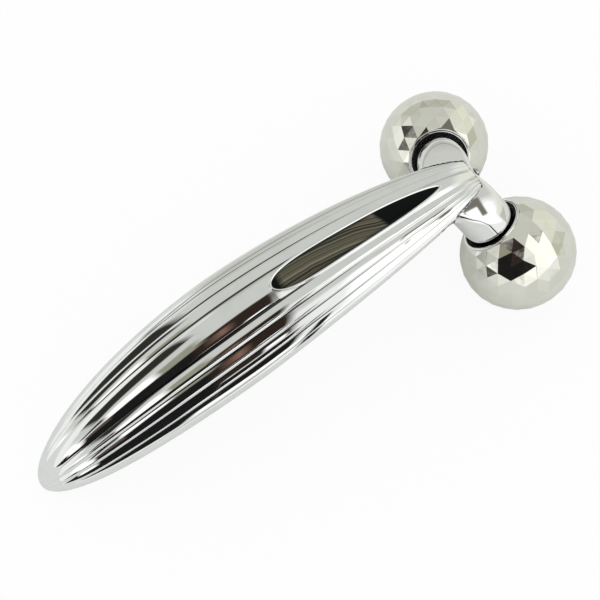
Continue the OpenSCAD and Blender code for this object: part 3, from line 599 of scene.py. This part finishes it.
def window_bead(plating):
    """Bright rolled edge round the window."""
    s = WINDOW_START + WINDOW_LEN * eased(BEAD_STEPS)
    reach = window_reach(s)
    left = crowned(s, reach, -BEAD_SINK)
    right = crowned(s[1:-1][::-1], -reach[1:-1][::-1], -BEAD_SINK)
    path = np.concatenate([left, right])
    mesh = bpy.data.meshes.new("window_bead")
    n = len(path)
    mesh.from_pydata((path * MM).tolist(), [(i, (i + 1) % n) for i in range(n)], [])
    return bead_tree(plating).apply(new_object("window_bead", mesh))


# ---------------------------------------------------------------- neck
def soft_min(a, b, width):
    """The smaller of two numbers, rounded over where they are less than width apart."""
    h = np.clip(0.5 + 0.5 * (b - a) / width, 0, 1)
    return b * (1 - h) + a * h - width * h * (1 - h)


def soft_max(a, b, width):
    return -soft_min(-a, -b, width)


def neck_field(p):
    """About the distance to the neck's surface in millimetres, negative inside."""
    q = p - FORK
    arms, bores = [], []
    for side in (1, -1):
        along = q @ arm_direction(side)
        radial = np.sqrt(np.maximum((q * q).sum(-1) - along ** 2, 0))
        arm = soft_max(radial - ARM_R, along - ARM_END, ARM_EDGE)
        arms.append(soft_max(arm, -along, ARM_ROOT))
        bores.append(np.maximum(radial - AXLE_R, ARM_END - AXLE_GRIP - along))
    fork = soft_min(arms[0], arms[1], FORK_FILLET)
    # s is the place along the spine and n the height above it
    dx = p[..., 0] - (FORK_X + HEAD_REACH + SPINE_R * math.sin(HEAD_SLOPE))
    dz = p[..., 2] - (HEAD_Z - SPINE_R * math.cos(HEAD_SLOPE))
    s = (np.arctan2(-dx, dz) - HEAD_SLOPE) * SPINE_R
    n = np.hypot(dx, dz) - SPINE_R
    y = p[..., 1]
    on_spine = np.maximum(s, TIP_PLACE)
    w, t = np.maximum(half_w(on_spine), TIP_HALF), np.maximum(half_t(on_spine), TIP_HALF)
    reach = np.hypot(y / w, n / t)
    slant = np.hypot(y / w ** 2, n / t ** 2) / np.maximum(reach, 1e-6)
    pod = np.maximum((reach - 1) / np.maximum(slant, 1e-6), -s)
    crown = np.linalg.norm(p - (FORK - [CROWN_BACK, 0, CROWN_DROP + CROWN_R]), axis=-1) - CROWN_R
    fork = soft_max(fork, crown, CROWN_EDGE)
    upper = np.maximum(np.maximum(pod - CROWN_GAP, -n), SHELL_FRONT - s)
    under = np.maximum(np.maximum(pod, n), s - NECK_LEN)
    nose = np.maximum(pod, s - SHELL_FRONT)
    # the web only fills the corner under the handle, behind the nose
    share = np.clip((s - WEB_FROM) / WEB_FADE, 0, 1) * np.clip(-n / WEB_DEPTH, 0, 1)
    body = soft_min(fork, under, WEB_FILLET) * share + np.minimum(fork, under) * (1 - share)
    body = np.minimum(np.maximum(body, -upper), nose)
    stud = np.linalg.norm(p - STUD_AT, axis=-1) - STUD_R
    tongue = np.maximum(np.abs(s - TONGUE_MIDDLE) - TONGUE_LEN / 2, np.abs(y) - TONGUE_W / 2)
    tongue = np.maximum(tongue, np.abs(n + TONGUE_DROP) - TONGUE_T / 2)
    body = np.minimum(np.minimum(body, stud), tongue)
    for bore in bores:
        body = np.maximum(body, -bore)
    return body


def shifted(cells, u, v, du, dv):
    """The cells that lie du and dv steps back along the axes u and v."""
    out = cells.copy()
    out[:, u] -= du
    out[:, v] -= dv
    return out


def surface_of(field, low, high, cell):
    """Quads on the surface where the field is zero, one point a cell, drawn onto the surface."""
    size = np.ceil((np.array(high) - low) / cell).astype(int) + 1
    axes = [low[k] + cell * np.arange(size[k]) for k in range(3)]
    grid = np.stack(np.meshgrid(*axes, indexing="ij"), -1)
    value = field(grid)
    inside = value < 0
    total = np.zeros(tuple(size - 1) + (3,))
    hits = np.zeros(tuple(size - 1))
    quads = []
    for axis in range(3):
        a = [slice(None)] * 3
        b = [slice(None)] * 3
        a[axis], b[axis] = slice(0, -1), slice(1, None)
        a, b = tuple(a), tuple(b)
        va, vb = value[a], value[b]
        cross = inside[a] != inside[b]
        where = np.argwhere(cross)
        t = (va / np.where(va == vb, 1, va - vb))[cross]
        point = grid[a][cross]
        point[:, axis] += t * cell
        u, v = (axis + 1) % 3, (axis + 2) % 3
        for du in (0, 1):
            for dv in (0, 1):
                c = shifted(where, u, v, du, dv)
                ok = np.all((c >= 0) & (c < size - 1), axis=1)
                np.add.at(total, tuple(c[ok].T), point[ok])
                np.add.at(hits, tuple(c[ok].T), 1)
        ok = np.all((where[:, [u, v]] > 0) & (where[:, [u, v]] < size[[u, v]] - 1), axis=1)
        w, out = where[ok], inside[a][cross][ok]
        corners = []
        for du, dv in ((0, 0), (1, 0), (1, 1), (0, 1)):
            c = shifted(w, u, v, du, dv)
            corners.append(np.ravel_multi_index(tuple(c.T), tuple(size - 1)))
        quad = np.stack(corners, 1)
        quad[~out] = quad[~out][:, ::-1]
        quads.append(quad)
    quads = np.concatenate(quads)
    used, quads = np.unique(quads, return_inverse=True)
    quads = quads.reshape(-1, 4)
    points = total.reshape(-1, 3)[used] / hits.ravel()[used][:, None]
    return points, quads


def gradient(field, points, step=0.02):
    out = np.empty_like(points)
    for k in range(3):
        shift = np.zeros(3)
        shift[k] = step
        out[:, k] = (field(points + shift) - field(points - shift)) / (2 * step)
    return out


def unit(vectors):
    return vectors / np.maximum(np.linalg.norm(vectors, axis=1, keepdims=True), 1e-6)


def neck_piece(plating):
    """The casting: its points are evened out along the surface and drawn back onto it."""
    low, high = FORK + np.array(NECK_LOW), FORK + np.array(NECK_HIGH)
    points, quads = surface_of(neck_field, low, high, NECK_CELL)
    edges = np.concatenate([quads[:, [0, 1]], quads[:, [1, 2]], quads[:, [2, 3]], quads[:, [3, 0]]])
    for turn in range(NECK_TURNS):
        if turn < NECK_EVENINGS:
            near = np.zeros_like(points)
            count = np.zeros(len(points))
            for a, b in ((0, 1), (1, 0)):
                np.add.at(near, edges[:, a], points[edges[:, b]])
                np.add.at(count, edges[:, a], 1)
            grad = unit(gradient(neck_field, points))
            move = near / count[:, None] - points
            points = points + 0.5 * (move - (move * grad).sum(1, keepdims=True) * grad)
        for _ in range(2):
            grad = gradient(neck_field, points)
            square = np.maximum((grad ** 2).sum(1), 0.05)
            step = -neck_field(points)[:, None] * grad / square[:, None]
            length = np.linalg.norm(step, axis=1, keepdims=True)
            points = points + step * np.minimum(1, NECK_STEP / np.maximum(length, 1e-9))
    piece = new_piece("neck_casting", points, quads)
    normal = unit(gradient(neck_field, points, 0.05))
    piece.data.normals_split_custom_set_from_vertices(normal.tolist())
    piece.data.materials.append(plating)
    return piece


# ---------------------------------------------------------------- rollers
def facet_points():
    """Corners and triangles of an icosahedron divided evenly and pushed out to a ball."""
    g = 1 / math.sqrt(5)

    def five(start, height):
        angles = [(72 * k + start) * DEG for k in range(5)]
        return [np.array([2 * g * math.cos(a), 2 * g * math.sin(a), height]) for a in angles]

    corner = [np.array([0, 0, 1.0])] + five(0, g) + five(36, -g) + [np.array([0, 0, -1.0])]
    big = []
    for k in range(5):
        j = (k + 1) % 5
        big += [(0, 1 + k, 1 + j), (1 + k, 6 + k, 1 + j), (1 + j, 6 + k, 6 + j), (11, 6 + j, 6 + k)]
    n = FACETS_PER_EDGE
    points, faces = [], []
    for a, b, c in big:
        base = len(points)
        for i in range(n + 1):
            for j in range(i + 1):
                v = (n - i) * corner[a] + (i - j) * corner[b] + j * corner[c]
                points.append(v / np.linalg.norm(v))

        def at(i, j):
            return base + i * (i + 1) // 2 + j

        for i in range(1, n + 1):
            for j in range(i):
                faces.append([at(i - 1, j), at(i, j), at(i, j + 1)])
                if j > 0:
                    faces.append([at(i - 1, j - 1), at(i, j), at(i - 1, j)])
    return np.array(points), faces


def of_faces(mesh, key):
    """The normals or centres of a mesh's faces."""
    values = np.empty(len(mesh.polygons) * 3)
    mesh.polygons.foreach_get(key, values)
    return values.reshape(-1, 3)


def ball_piece(side, plating):
    """Hollow faceted ball with its mouth, and inside a collar and a socket that hold the hub."""
    name = NAME_OF_SIDE[side]
    points, faces = facet_points()
    points = FORK + (BALL_R * points + [0, 0, ARM_LEN]) @ arm_frame(side)
    ball = clean_up(new_piece(name + "_faceted_ball", points, faces, smooth=False), 1e-6)
    bm = bmesh.new()
    bm.from_mesh(ball.data)
    bmesh.ops.bevel(bm, geom=bm.edges[:] + bm.verts[:], offset=FACET_BEVEL * MM, segments=1,
                    affect="EDGES", clamp_overlap=True)
    bm.to_mesh(ball.data)
    bm.free()
    inner_r = BALL_R - BALL_WALL
    socket_r, collar_r = HUB_R + SOCKET_WALL, MOUTH_R + COLLAR_WALL
    collar_end = HUB_AT + HUB_FLANGE_T
    socket_end = HUB_AT + HUB_SPAN - SOCKET_SHORT
    bore_end = ARM_LEN + inner_r - BORE_SHORT
    cut_start, cut_r = MOUTH_AT - CUT_AHEAD, RING_LIP_R + CUT_ROUND
    first = math.asin(collar_r / inner_r)
    last = math.pi - math.asin(socket_r / inner_r)
    cavity = [(inner_r * math.sin(a), ARM_LEN - inner_r * math.cos(a))
              for a in np.linspace(first, last, CAVITY_STEPS)]
    core = [(0, cut_start), (cut_r, cut_start), (cut_r, MOUTH_AT), (MOUTH_R + MOUTH_CHAMFER, MOUTH_AT),
            (MOUTH_R, MOUTH_AT + MOUTH_CHAMFER), (MOUTH_R, collar_end), (collar_r, collar_end)]
    core += cavity
    core += [(socket_r, socket_end), (HUB_R, socket_end), (HUB_R, bore_end), (0, bore_end)]
    cutter = turned_piece("ball_core", side, core, BALL_STEPS)
    cut = ball.modifiers.new("cut", "BOOLEAN")
    cut.operation, cut.solver, cut.object = "DIFFERENCE", "EXACT", cutter
    mesh = keep_result(ball).data
    bpy.data.objects.remove(cutter)
    mesh.materials.clear()
    mesh.materials.append(plating)
    # each facet keeps one tone of its own: its faces are found by their rounded normal
    rng = np.random.default_rng(7 + side)
    key = np.round(of_faces(mesh, "normal"), 2) @ [1.0, 37.0, 37.0 ** 2]
    _, index = np.unique(key, return_inverse=True)
    store(ball, "facet_tone", rng.random(index.max() + 1)[index], "FLOAT", "FACE")
    # the cavity is smooth, the facets are flat
    middle = (FORK + ARM_LEN * arm_direction(side)) * MM
    far = np.linalg.norm(of_faces(mesh, "center") - middle, axis=1) / MM
    mesh.polygons.foreach_set("use_smooth", far < inner_r + CAVITY_MARGIN)
    return ball


def ring_piece(side, plating):
    """Thin bright ring whose lip shows round the roller's mouth."""
    lip_at, end, bore_r = MOUTH_AT - RING_LIP_T, MOUTH_AT + RING_DEPTH, MOUTH_R - RING_WALL
    outline = rounded([(bore_r, lip_at), (RING_LIP_R, lip_at), (RING_LIP_R, MOUTH_AT),
                       (MOUTH_R, MOUTH_AT), (MOUTH_R, end), (bore_r, end)], RING_ROUND)
    ring = turned_piece(NAME_OF_SIDE[side] + "_bright_ring", side, outline, RING_STEPS)
    ring.data.materials.append(plating)
    return ring


# ---------------------------------------------------------------- materials
class Shader(Nodes):
    """A node tree of a material or the world."""

    def __init__(self, holder):
        holder.use_nodes = True
        holder.node_tree.nodes.clear()
        super().__init__(holder.node_tree)

    def place(self):
        return self.node("ShaderNodeTexCoord").outputs["Object"]

    def noise(self, scale, detail=3.0, roughness=0.5):
        node = self.node("ShaderNodeTexNoise", Vector=self.place(), Scale=scale, Detail=detail,
                         Roughness=roughness)
        return Value(self, node.outputs["Fac"])

    def stored(self, name):
        """A number that the piece's mesh carries."""
        return Value(self, self.node("ShaderNodeAttribute", {"attribute_name": name}).outputs["Fac"])

    def distance(self, centre):
        node = self.node("ShaderNodeVectorMath", {"operation": "DISTANCE"}, _0=self.place(), _1=tuple(centre))
        return Value(self, node.outputs["Value"])

    def apart(self, vector):
        """The three numbers of a vector."""
        node = self.node("ShaderNodeSeparateXYZ", Vector=vector)
        return [Value(self, output) for output in node.outputs]

    def blend(self, mask, first, second):
        node = self.node("ShaderNodeMix", {"data_type": "RGBA"}, _0=mask, _6=first, _7=second)
        return node.outputs[2]

    def bump(self, height, distance):
        return self.node("ShaderNodeBump", Strength=1.0, Distance=distance, Height=height).outputs[0]


def rgb(*levels):
    return (*levels, 1.0)


class Finish(Shader):
    """A material with one Principled surface."""

    def __init__(self, name):
        self.material = bpy.data.materials.new(name)
        super().__init__(self.material)

    def done(self, **surface):
        body = self.node("ShaderNodeBsdfPrincipled", **surface)
        self.node("ShaderNodeOutputMaterial", Surface=body.outputs[0])
        return self.material


# Sizes in the looks, in millimetres, degrees or shares; those of the solar cell are in metres.
# painted shade: the chrome is coloured near black at the bottoms of the grooves
GROOVE_SHADE_FROM, LINE_EDGE = 0.80, 0.06     # the depth where a dark line begins, over how much it fades in
# painted shade: a dark ring round the stud, where a gap between the parts would lie in shade
GAP_HALF, GAP_OUT = 0.16, 0.12          # the dark gap round the stud: half its width, its distance
SMEAR_FROM, SMEAR_CONTRAST = 0.48, 3.2
# the streaks on the window are painted reflections; these numbers shape them and bound where they are painted
STREAKS_FROM, STREAKS_EDGE, STREAKS_LEAN = 33.0, 1.2, 0.08
STREAK_SLANT, STREAK_BEND, STREAK_PITCH, STREAK_DRIFT = 1.5, 0.028, 0.05, 0.45
REFLECTION_HALF, REFLECTION_HALF_EDGE = 14.2, 5.0     # beyond these the window's rim stays dark
REFLECTION_END, REFLECTION_END_EDGE = 66.5, 2.0
FINGERS_PER_M, FINGER_SHARE, BAR_HALF = 400.0, 0.035, 0.0003


def bright_chrome(name, light, dull, waviness):
    """Mirror plating over moulded plastic: faint waves and smears, and painted shade as dark lines at the
    bottoms of the grooves and in a ring round the stud.
    """
    f = Finish(name)
    waves = f.noise(55, 1.0)
    smears = f.noise(160, 4.0, 0.6)
    marks = f.noise(2600, 2.0, 0.5)
    smear = ((smears - SMEAR_FROM) * SMEAR_CONTRAST).clamped()
    # painted shade: dark lines at the bottoms of the grooves
    groove = ((f.stored("groove") - GROOVE_SHADE_FROM) / LINE_EDGE).clamped()
    # painted shade of a gap: a dark ring round the stud
    from_gap = (f.distance(STUD_AT * MM) / MM - STUD_R - GAP_OUT).size()
    gap_shade = ((GAP_HALF - from_gap) / LINE_EDGE).clamped()
    painted_shade = groove.at_least(gap_shade)
    colour = f.blend(painted_shade * 0.95, f.blend(smear, light, dull), rgb(0.03, 0.03, 0.03))
    return f.done(Base_Color=colour, Metallic=1.0,
                  Roughness=smear * 0.035 + marks * 0.02 + painted_shade * 0.1 + 0.022,
                  Normal=f.bump(waves + marks * 0.0006, waviness))


def faceted_nickel():
    """Warm bright plating; each facet has a tone and a polish of its own."""
    f = Finish("warm_nickel")
    tone = f.stored("facet_tone")
    haze = f.noise(240, 3.0)
    colour = f.blend((tone * 0.7 + haze * 0.3).clamped(), rgb(0.76, 0.75, 0.68), rgb(0.86, 0.855, 0.80))
    return f.done(Base_Color=colour, Metallic=1.0, Roughness=tone * 0.03 + haze * 0.05 + 0.04,
                  Normal=f.bump(haze, 0.00003))


def smoked_plastic_with_painted_reflections():
    """Smoked window, near black towards the head; behind, long olive and brown streaks of painted reflection.
    """
    f = Finish("smoked_window")
    along, turned = f.stored("along"), f.stored("turned")
    drift = f.noise(60, 2.0)
    behind = along - STREAKS_FROM
    bent = turned - behind * STREAK_SLANT + behind * behind * STREAK_BEND
    # painted reflections: long olive and brown streaks over the rear of the window
    reflection_streak = f.node("ShaderNodeTexNoise", {"noise_dimensions": "1D"}, Scale=3.2, Detail=1.5, Roughness=0.6,
                    W=bent * STREAK_PITCH + drift * STREAK_DRIFT)
    tone = f.node("ShaderNodeValToRGB", {"stops": [
        (0.26, (0.012, 0.013, 0.010)), (0.38, (0.060, 0.060, 0.042)), (0.45, (0.200, 0.190, 0.130)),
        (0.50, (0.030, 0.030, 0.022)), (0.57, (0.170, 0.145, 0.100)), (0.64, (0.022, 0.022, 0.018)),
        (0.76, (0.080, 0.080, 0.062))]}, Fac=reflection_streak.outputs["Fac"])
    clear = ((behind - turned * STREAKS_LEAN) / STREAKS_EDGE).clamped()
    clear = clear * ((REFLECTION_HALF - turned.size()) / REFLECTION_HALF_EDGE).clamped()
    clear = clear * ((REFLECTION_END - along) / REFLECTION_END_EDGE).clamped()
    colour = f.blend(clear, rgb(0.003, 0.004, 0.004), tone.outputs[0])
    dust = f.noise(1400, 2.0)
    return f.done(Base_Color=colour, Roughness=dust * 0.03 + 0.03, IOR=1.16, Normal=f.bump(drift, 0.00002))


def moulded_black():
    """Matt black plastic of the parts inside."""
    f = Finish("black_plastic")
    grain = f.noise(1800, 4.0)
    colour = f.blend(grain, rgb(0.020, 0.020, 0.021), rgb(0.055, 0.055, 0.056))
    return f.done(Base_Color=colour, Roughness=grain * 0.2 + 0.42, Normal=f.bump(grain, 0.00004))


def turned_metal(name, first, second, roughness):
    """Machined metal: fine turning lines and a little tarnish."""
    f = Finish(name)
    lines = f.node("ShaderNodeTexWave", {"wave_type": "BANDS"}, Vector=f.place(), Scale=900.0, Distortion=6.0,
                   Detail=2.0)
    line = Value(f, lines.outputs["Fac"])
    tarnish = f.noise(320, 4.0)
    return f.done(Base_Color=f.blend(tarnish, first, second), Metallic=1.0,
                  Roughness=tarnish * 0.18 + line * 0.06 + roughness, Normal=f.bump(line, 0.000012))


def cell_face():
    """Solar cell: dark blue-violet with fine bright fingers across it and a bar along its middle."""
    f = Finish("solar_cell_face")
    along, across, _ = f.apart(f.place())
    finger = ((along * FINGERS_PER_M).maths("FRACT") - 0.5).size().maths("LESS_THAN", FINGER_SHARE)
    bar = across.size().maths("LESS_THAN", BAR_HALF)
    mask = (finger + bar).clamped()
    body = f.blend(f.noise(500, 3.0), rgb(0.020, 0.018, 0.045), rgb(0.045, 0.035, 0.085))
    return f.done(Base_Color=f.blend(mask, body, rgb(0.55, 0.55, 0.56)), Roughness=mask * 0.2 + 0.16,
                  Coat_Weight=0.6)


def sleeve(name, first, second):
    """Coloured plastic round a lead."""
    f = Finish(name)
    mottle = f.noise(900, 3.0)
    return f.done(Base_Color=f.blend(mottle, first, second), Roughness=mottle * 0.2 + 0.38,
                  Normal=f.bump(mottle, 0.00002))


CHROME = bright_chrome("bright_chrome", rgb(0.86, 0.865, 0.87), rgb(0.80, 0.805, 0.81), 0.00016)
NECK_CHROME = bright_chrome("neck_chrome", rgb(0.86, 0.86, 0.86), rgb(0.79, 0.79, 0.79), 0.00010)
NICKEL = faceted_nickel()
SMOKED = smoked_plastic_with_painted_reflections()
BLACK = moulded_black()
STEEL = turned_metal("screw_steel", rgb(0.58, 0.59, 0.61), rgb(0.68, 0.69, 0.71), 0.22)
BRASS = turned_metal("bush_brass", rgb(0.66, 0.49, 0.22), rgb(0.78, 0.62, 0.33), 0.20)
CELL = cell_face()
RED = sleeve("red_sleeve", rgb(0.56, 0.035, 0.030), rgb(0.66, 0.06, 0.05))
DARK = sleeve("black_sleeve", rgb(0.025, 0.025, 0.026), rgb(0.05, 0.05, 0.052))

# ---------------------------------------------------------------- pieces on their bodies
FINISH_OF_NODE = {
    "solar_cell": CELL, "cell_carrier": BLACK, "carrier_screws": STEEL, "counterweight": STEEL,
    "weight_screws": STEEL, "neck_screws": STEEL, "lead_terminal": BRASS, "red_lead": RED,
    "black_lead": DARK, "contact_spring": BRASS, "spring_screw": STEEL,
}
FINISH_OF_SIDE_NODE = {
    "axle": STEEL, "spacer": BLACK, "outer_bush": BRASS, "inner_bush": BRASS, "hub": BLACK,
    "washer": STEEL, "clip": STEEL,
}
for name in NAME_OF_SIDE.values():
    FINISH_OF_NODE.update({f"{name}_{node}": finish for node, finish in FINISH_OF_SIDE_NODE.items()})
for node, finish in FINISH_OF_NODE.items():
    mesh = bpy.data.objects[node].data
    mesh.materials.clear()
    mesh.materials.append(finish)


def settle(piece, body, slot, *nodes):
    """The piece rides on its body and stands for the CAD nodes it names, which are hidden; slot is not used.
    """
    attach(piece, body)
    if nodes:
        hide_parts(*nodes)


settle(shell_piece("ribbed_upper_shell", False, SHELL_FRONT, CHROME), "handle", "chrome_plate", "upper_shell")
settle(shell_piece("ribbed_lower_shell", True, NECK_LEN, CHROME), "handle", "chrome_plate", "lower_shell")
settle(window_piece(SMOKED), "handle", "smoked_window", "solar_window")
settle(window_bead(CHROME), "handle", "chrome_plate")
settle(neck_piece(NECK_CHROME), "handle", "chrome_plate", "yoke")
for side, name in NAME_OF_SIDE.items():
    settle(ball_piece(side, NICKEL), BODY_OF_SIDE[side], "nickel_plate", name + "_ball")
    settle(ring_piece(side, NECK_CHROME), BODY_OF_SIDE[side], "chrome_plate", name + "_ring")

# ---------------------------------------------------------------- floor, light and camera
def pale_floor():
    """White to the eye, with a faint shadow; a mirror sees it as light grey, with the shadow."""
    material = bpy.data.materials.new("pale_floor")
    f = Shader(material)
    paper = f.noise(3.0, 2.0)
    ray = f.node("ShaderNodeLightPath")
    seen, mirrored, through = (Value(f, ray.outputs[f"Is {kind} Ray"])
                               for kind in ("Camera", "Glossy", "Transmission"))
    white = f.blend(paper, rgb(0.90, 0.90, 0.90), rgb(0.93, 0.93, 0.93))
    matt = f.node("ShaderNodeBsdfDiffuse", Color=f.blend(mirrored, white, rgb(0.76, 0.78, 0.75)))
    glow = f.node("ShaderNodeEmission", Color=rgb(1, 1, 1), Strength=1.0)
    mix = f.node("ShaderNodeMixShader", _0=seen.at_least(through) * 0.9, _1=matt.outputs[0],
                 _2=glow.outputs[0])
    f.node("ShaderNodeOutputMaterial", Surface=mix.outputs[0])
    return material


FLOOR_HALF = 3000
floor = new_piece("floor", FLOOR_HALF * np.array([(-1, -1, 0), (1, -1, 0), (1, 1, 0), (-1, 1, 0)]),
                  [(0, 1, 2, 3)], smooth=False)
floor.data.materials.append(pale_floor())

# Cards and flags of the studio by the directions where mirrors see them. Across is the angle from
# the zenith towards the device's left, along the angle towards its rollers. Each has its middle, half
# its width and length, its soft edge, all in degrees, and its tone.
BLACK_FLAG, WHITE_CARD = (0.012, 0.012, 0.012), (1.3, 1.3, 1.27)
CARDS = [
    ((-14, 26), (58, 19), 5, WHITE_CARD),
    ((20, 68), (80, 18), 8, (0.86, 0.87, 0.78)),
    ((-66, 66), (22, 16), 6, (0.58, 0.59, 0.50)),
    ((29, -10), (31, 60), 8, (0.66, 0.67, 0.63)),
    ((76, 22), (20, 38), 8, (0.58, 0.59, 0.53)),
    ((68, 10), (3, 42), 3, (0.36, 0.37, 0.35)),
    ((-36, -62), (44, 32), 3, BLACK_FLAG),
    ((-46, -19), (16, 12.5), 3, BLACK_FLAG),
    ((-7, -21), (20, 12), 3, (0.03, 0.02, 0.015)),
    ((-4, -25), (9, 3), 5, (0.24, 0.14, 0.10)),
    ((-22, -14), (4, 3), 2, WHITE_CARD),
    ((14, -37), (9, 6.5), 4, (0.33, 0.33, 0.25)),
    ((17, -52), (10, 8), 4, WHITE_CARD),
    ((50, -45), (14, 16), 4, (0.03, 0.03, 0.025)),
    ((-70, -14), (8, 20), 4, WHITE_CARD),
    ((24, -68), (5, 8), 2, BLACK_FLAG),
    ((-2, -68), (7, 8), 2, (0.10, 0.07, 0.07)),
    ((10, -76), (40, 4), 3, WHITE_CARD),
    ((-5, 30), (8, 8), 2, (0.20, 0.19, 0.16)),
    ((-9, 28), (5, 5), 1.5, WHITE_CARD),
    ((-67, 0), (22, 2), 1.5, BLACK_FLAG),
]


def studio():
    """A white room for the eye and for the light, with cards and flags that only mirrors see."""
    world = bpy.data.worlds.new("studio")
    bpy.context.scene.world = world
    s = Shader(world)
    x, y, z = s.apart(s.node("ShaderNodeTexCoord").outputs["Generated"])
    across = y.maths("ARCTAN2", z) / DEG
    along = x.maths("ARCSINE") / DEG
    tone = rgb(0.97, 0.98, 0.95)
    for (middle_across, middle_along), (wide, long), edge, colour in CARDS:
        sideways = wide - (across - middle_across).maths("WRAP", 180.0, -180.0).size()
        lengthways = long - (along - middle_along).size()
        mask = (sideways / edge + 0.5).clamped() * (lengthways / edge + 0.5).clamped()
        tone = s.blend(mask, tone, rgb(*colour))
    mirrored = s.node("ShaderNodeLightPath").outputs["Is Glossy Ray"]
    back = s.node("ShaderNodeBackground", Color=s.blend(mirrored, rgb(1, 1, 1), tone), Strength=1.0)
    s.node("ShaderNodeOutputWorld", Surface=back.outputs[0])


studio()

CAMERA_AT = (FORK_X - 79.68, -81.89, 265.14)
CAMERA_TURN = (18.965, 4.723, -31.730)      # degrees about x, y and z
camera = new_object("camera", bpy.data.cameras.new("camera"))
camera.location = [k * MM for k in CAMERA_AT]
camera.rotation_euler = [k * DEG for k in CAMERA_TURN]
camera.data.lens, camera.data.sensor_width, camera.data.clip_start = 51.0, 36.0, 0.005
bpy.context.scene.camera = camera
bpy.context.scene.view_settings.view_transform = "Standard"
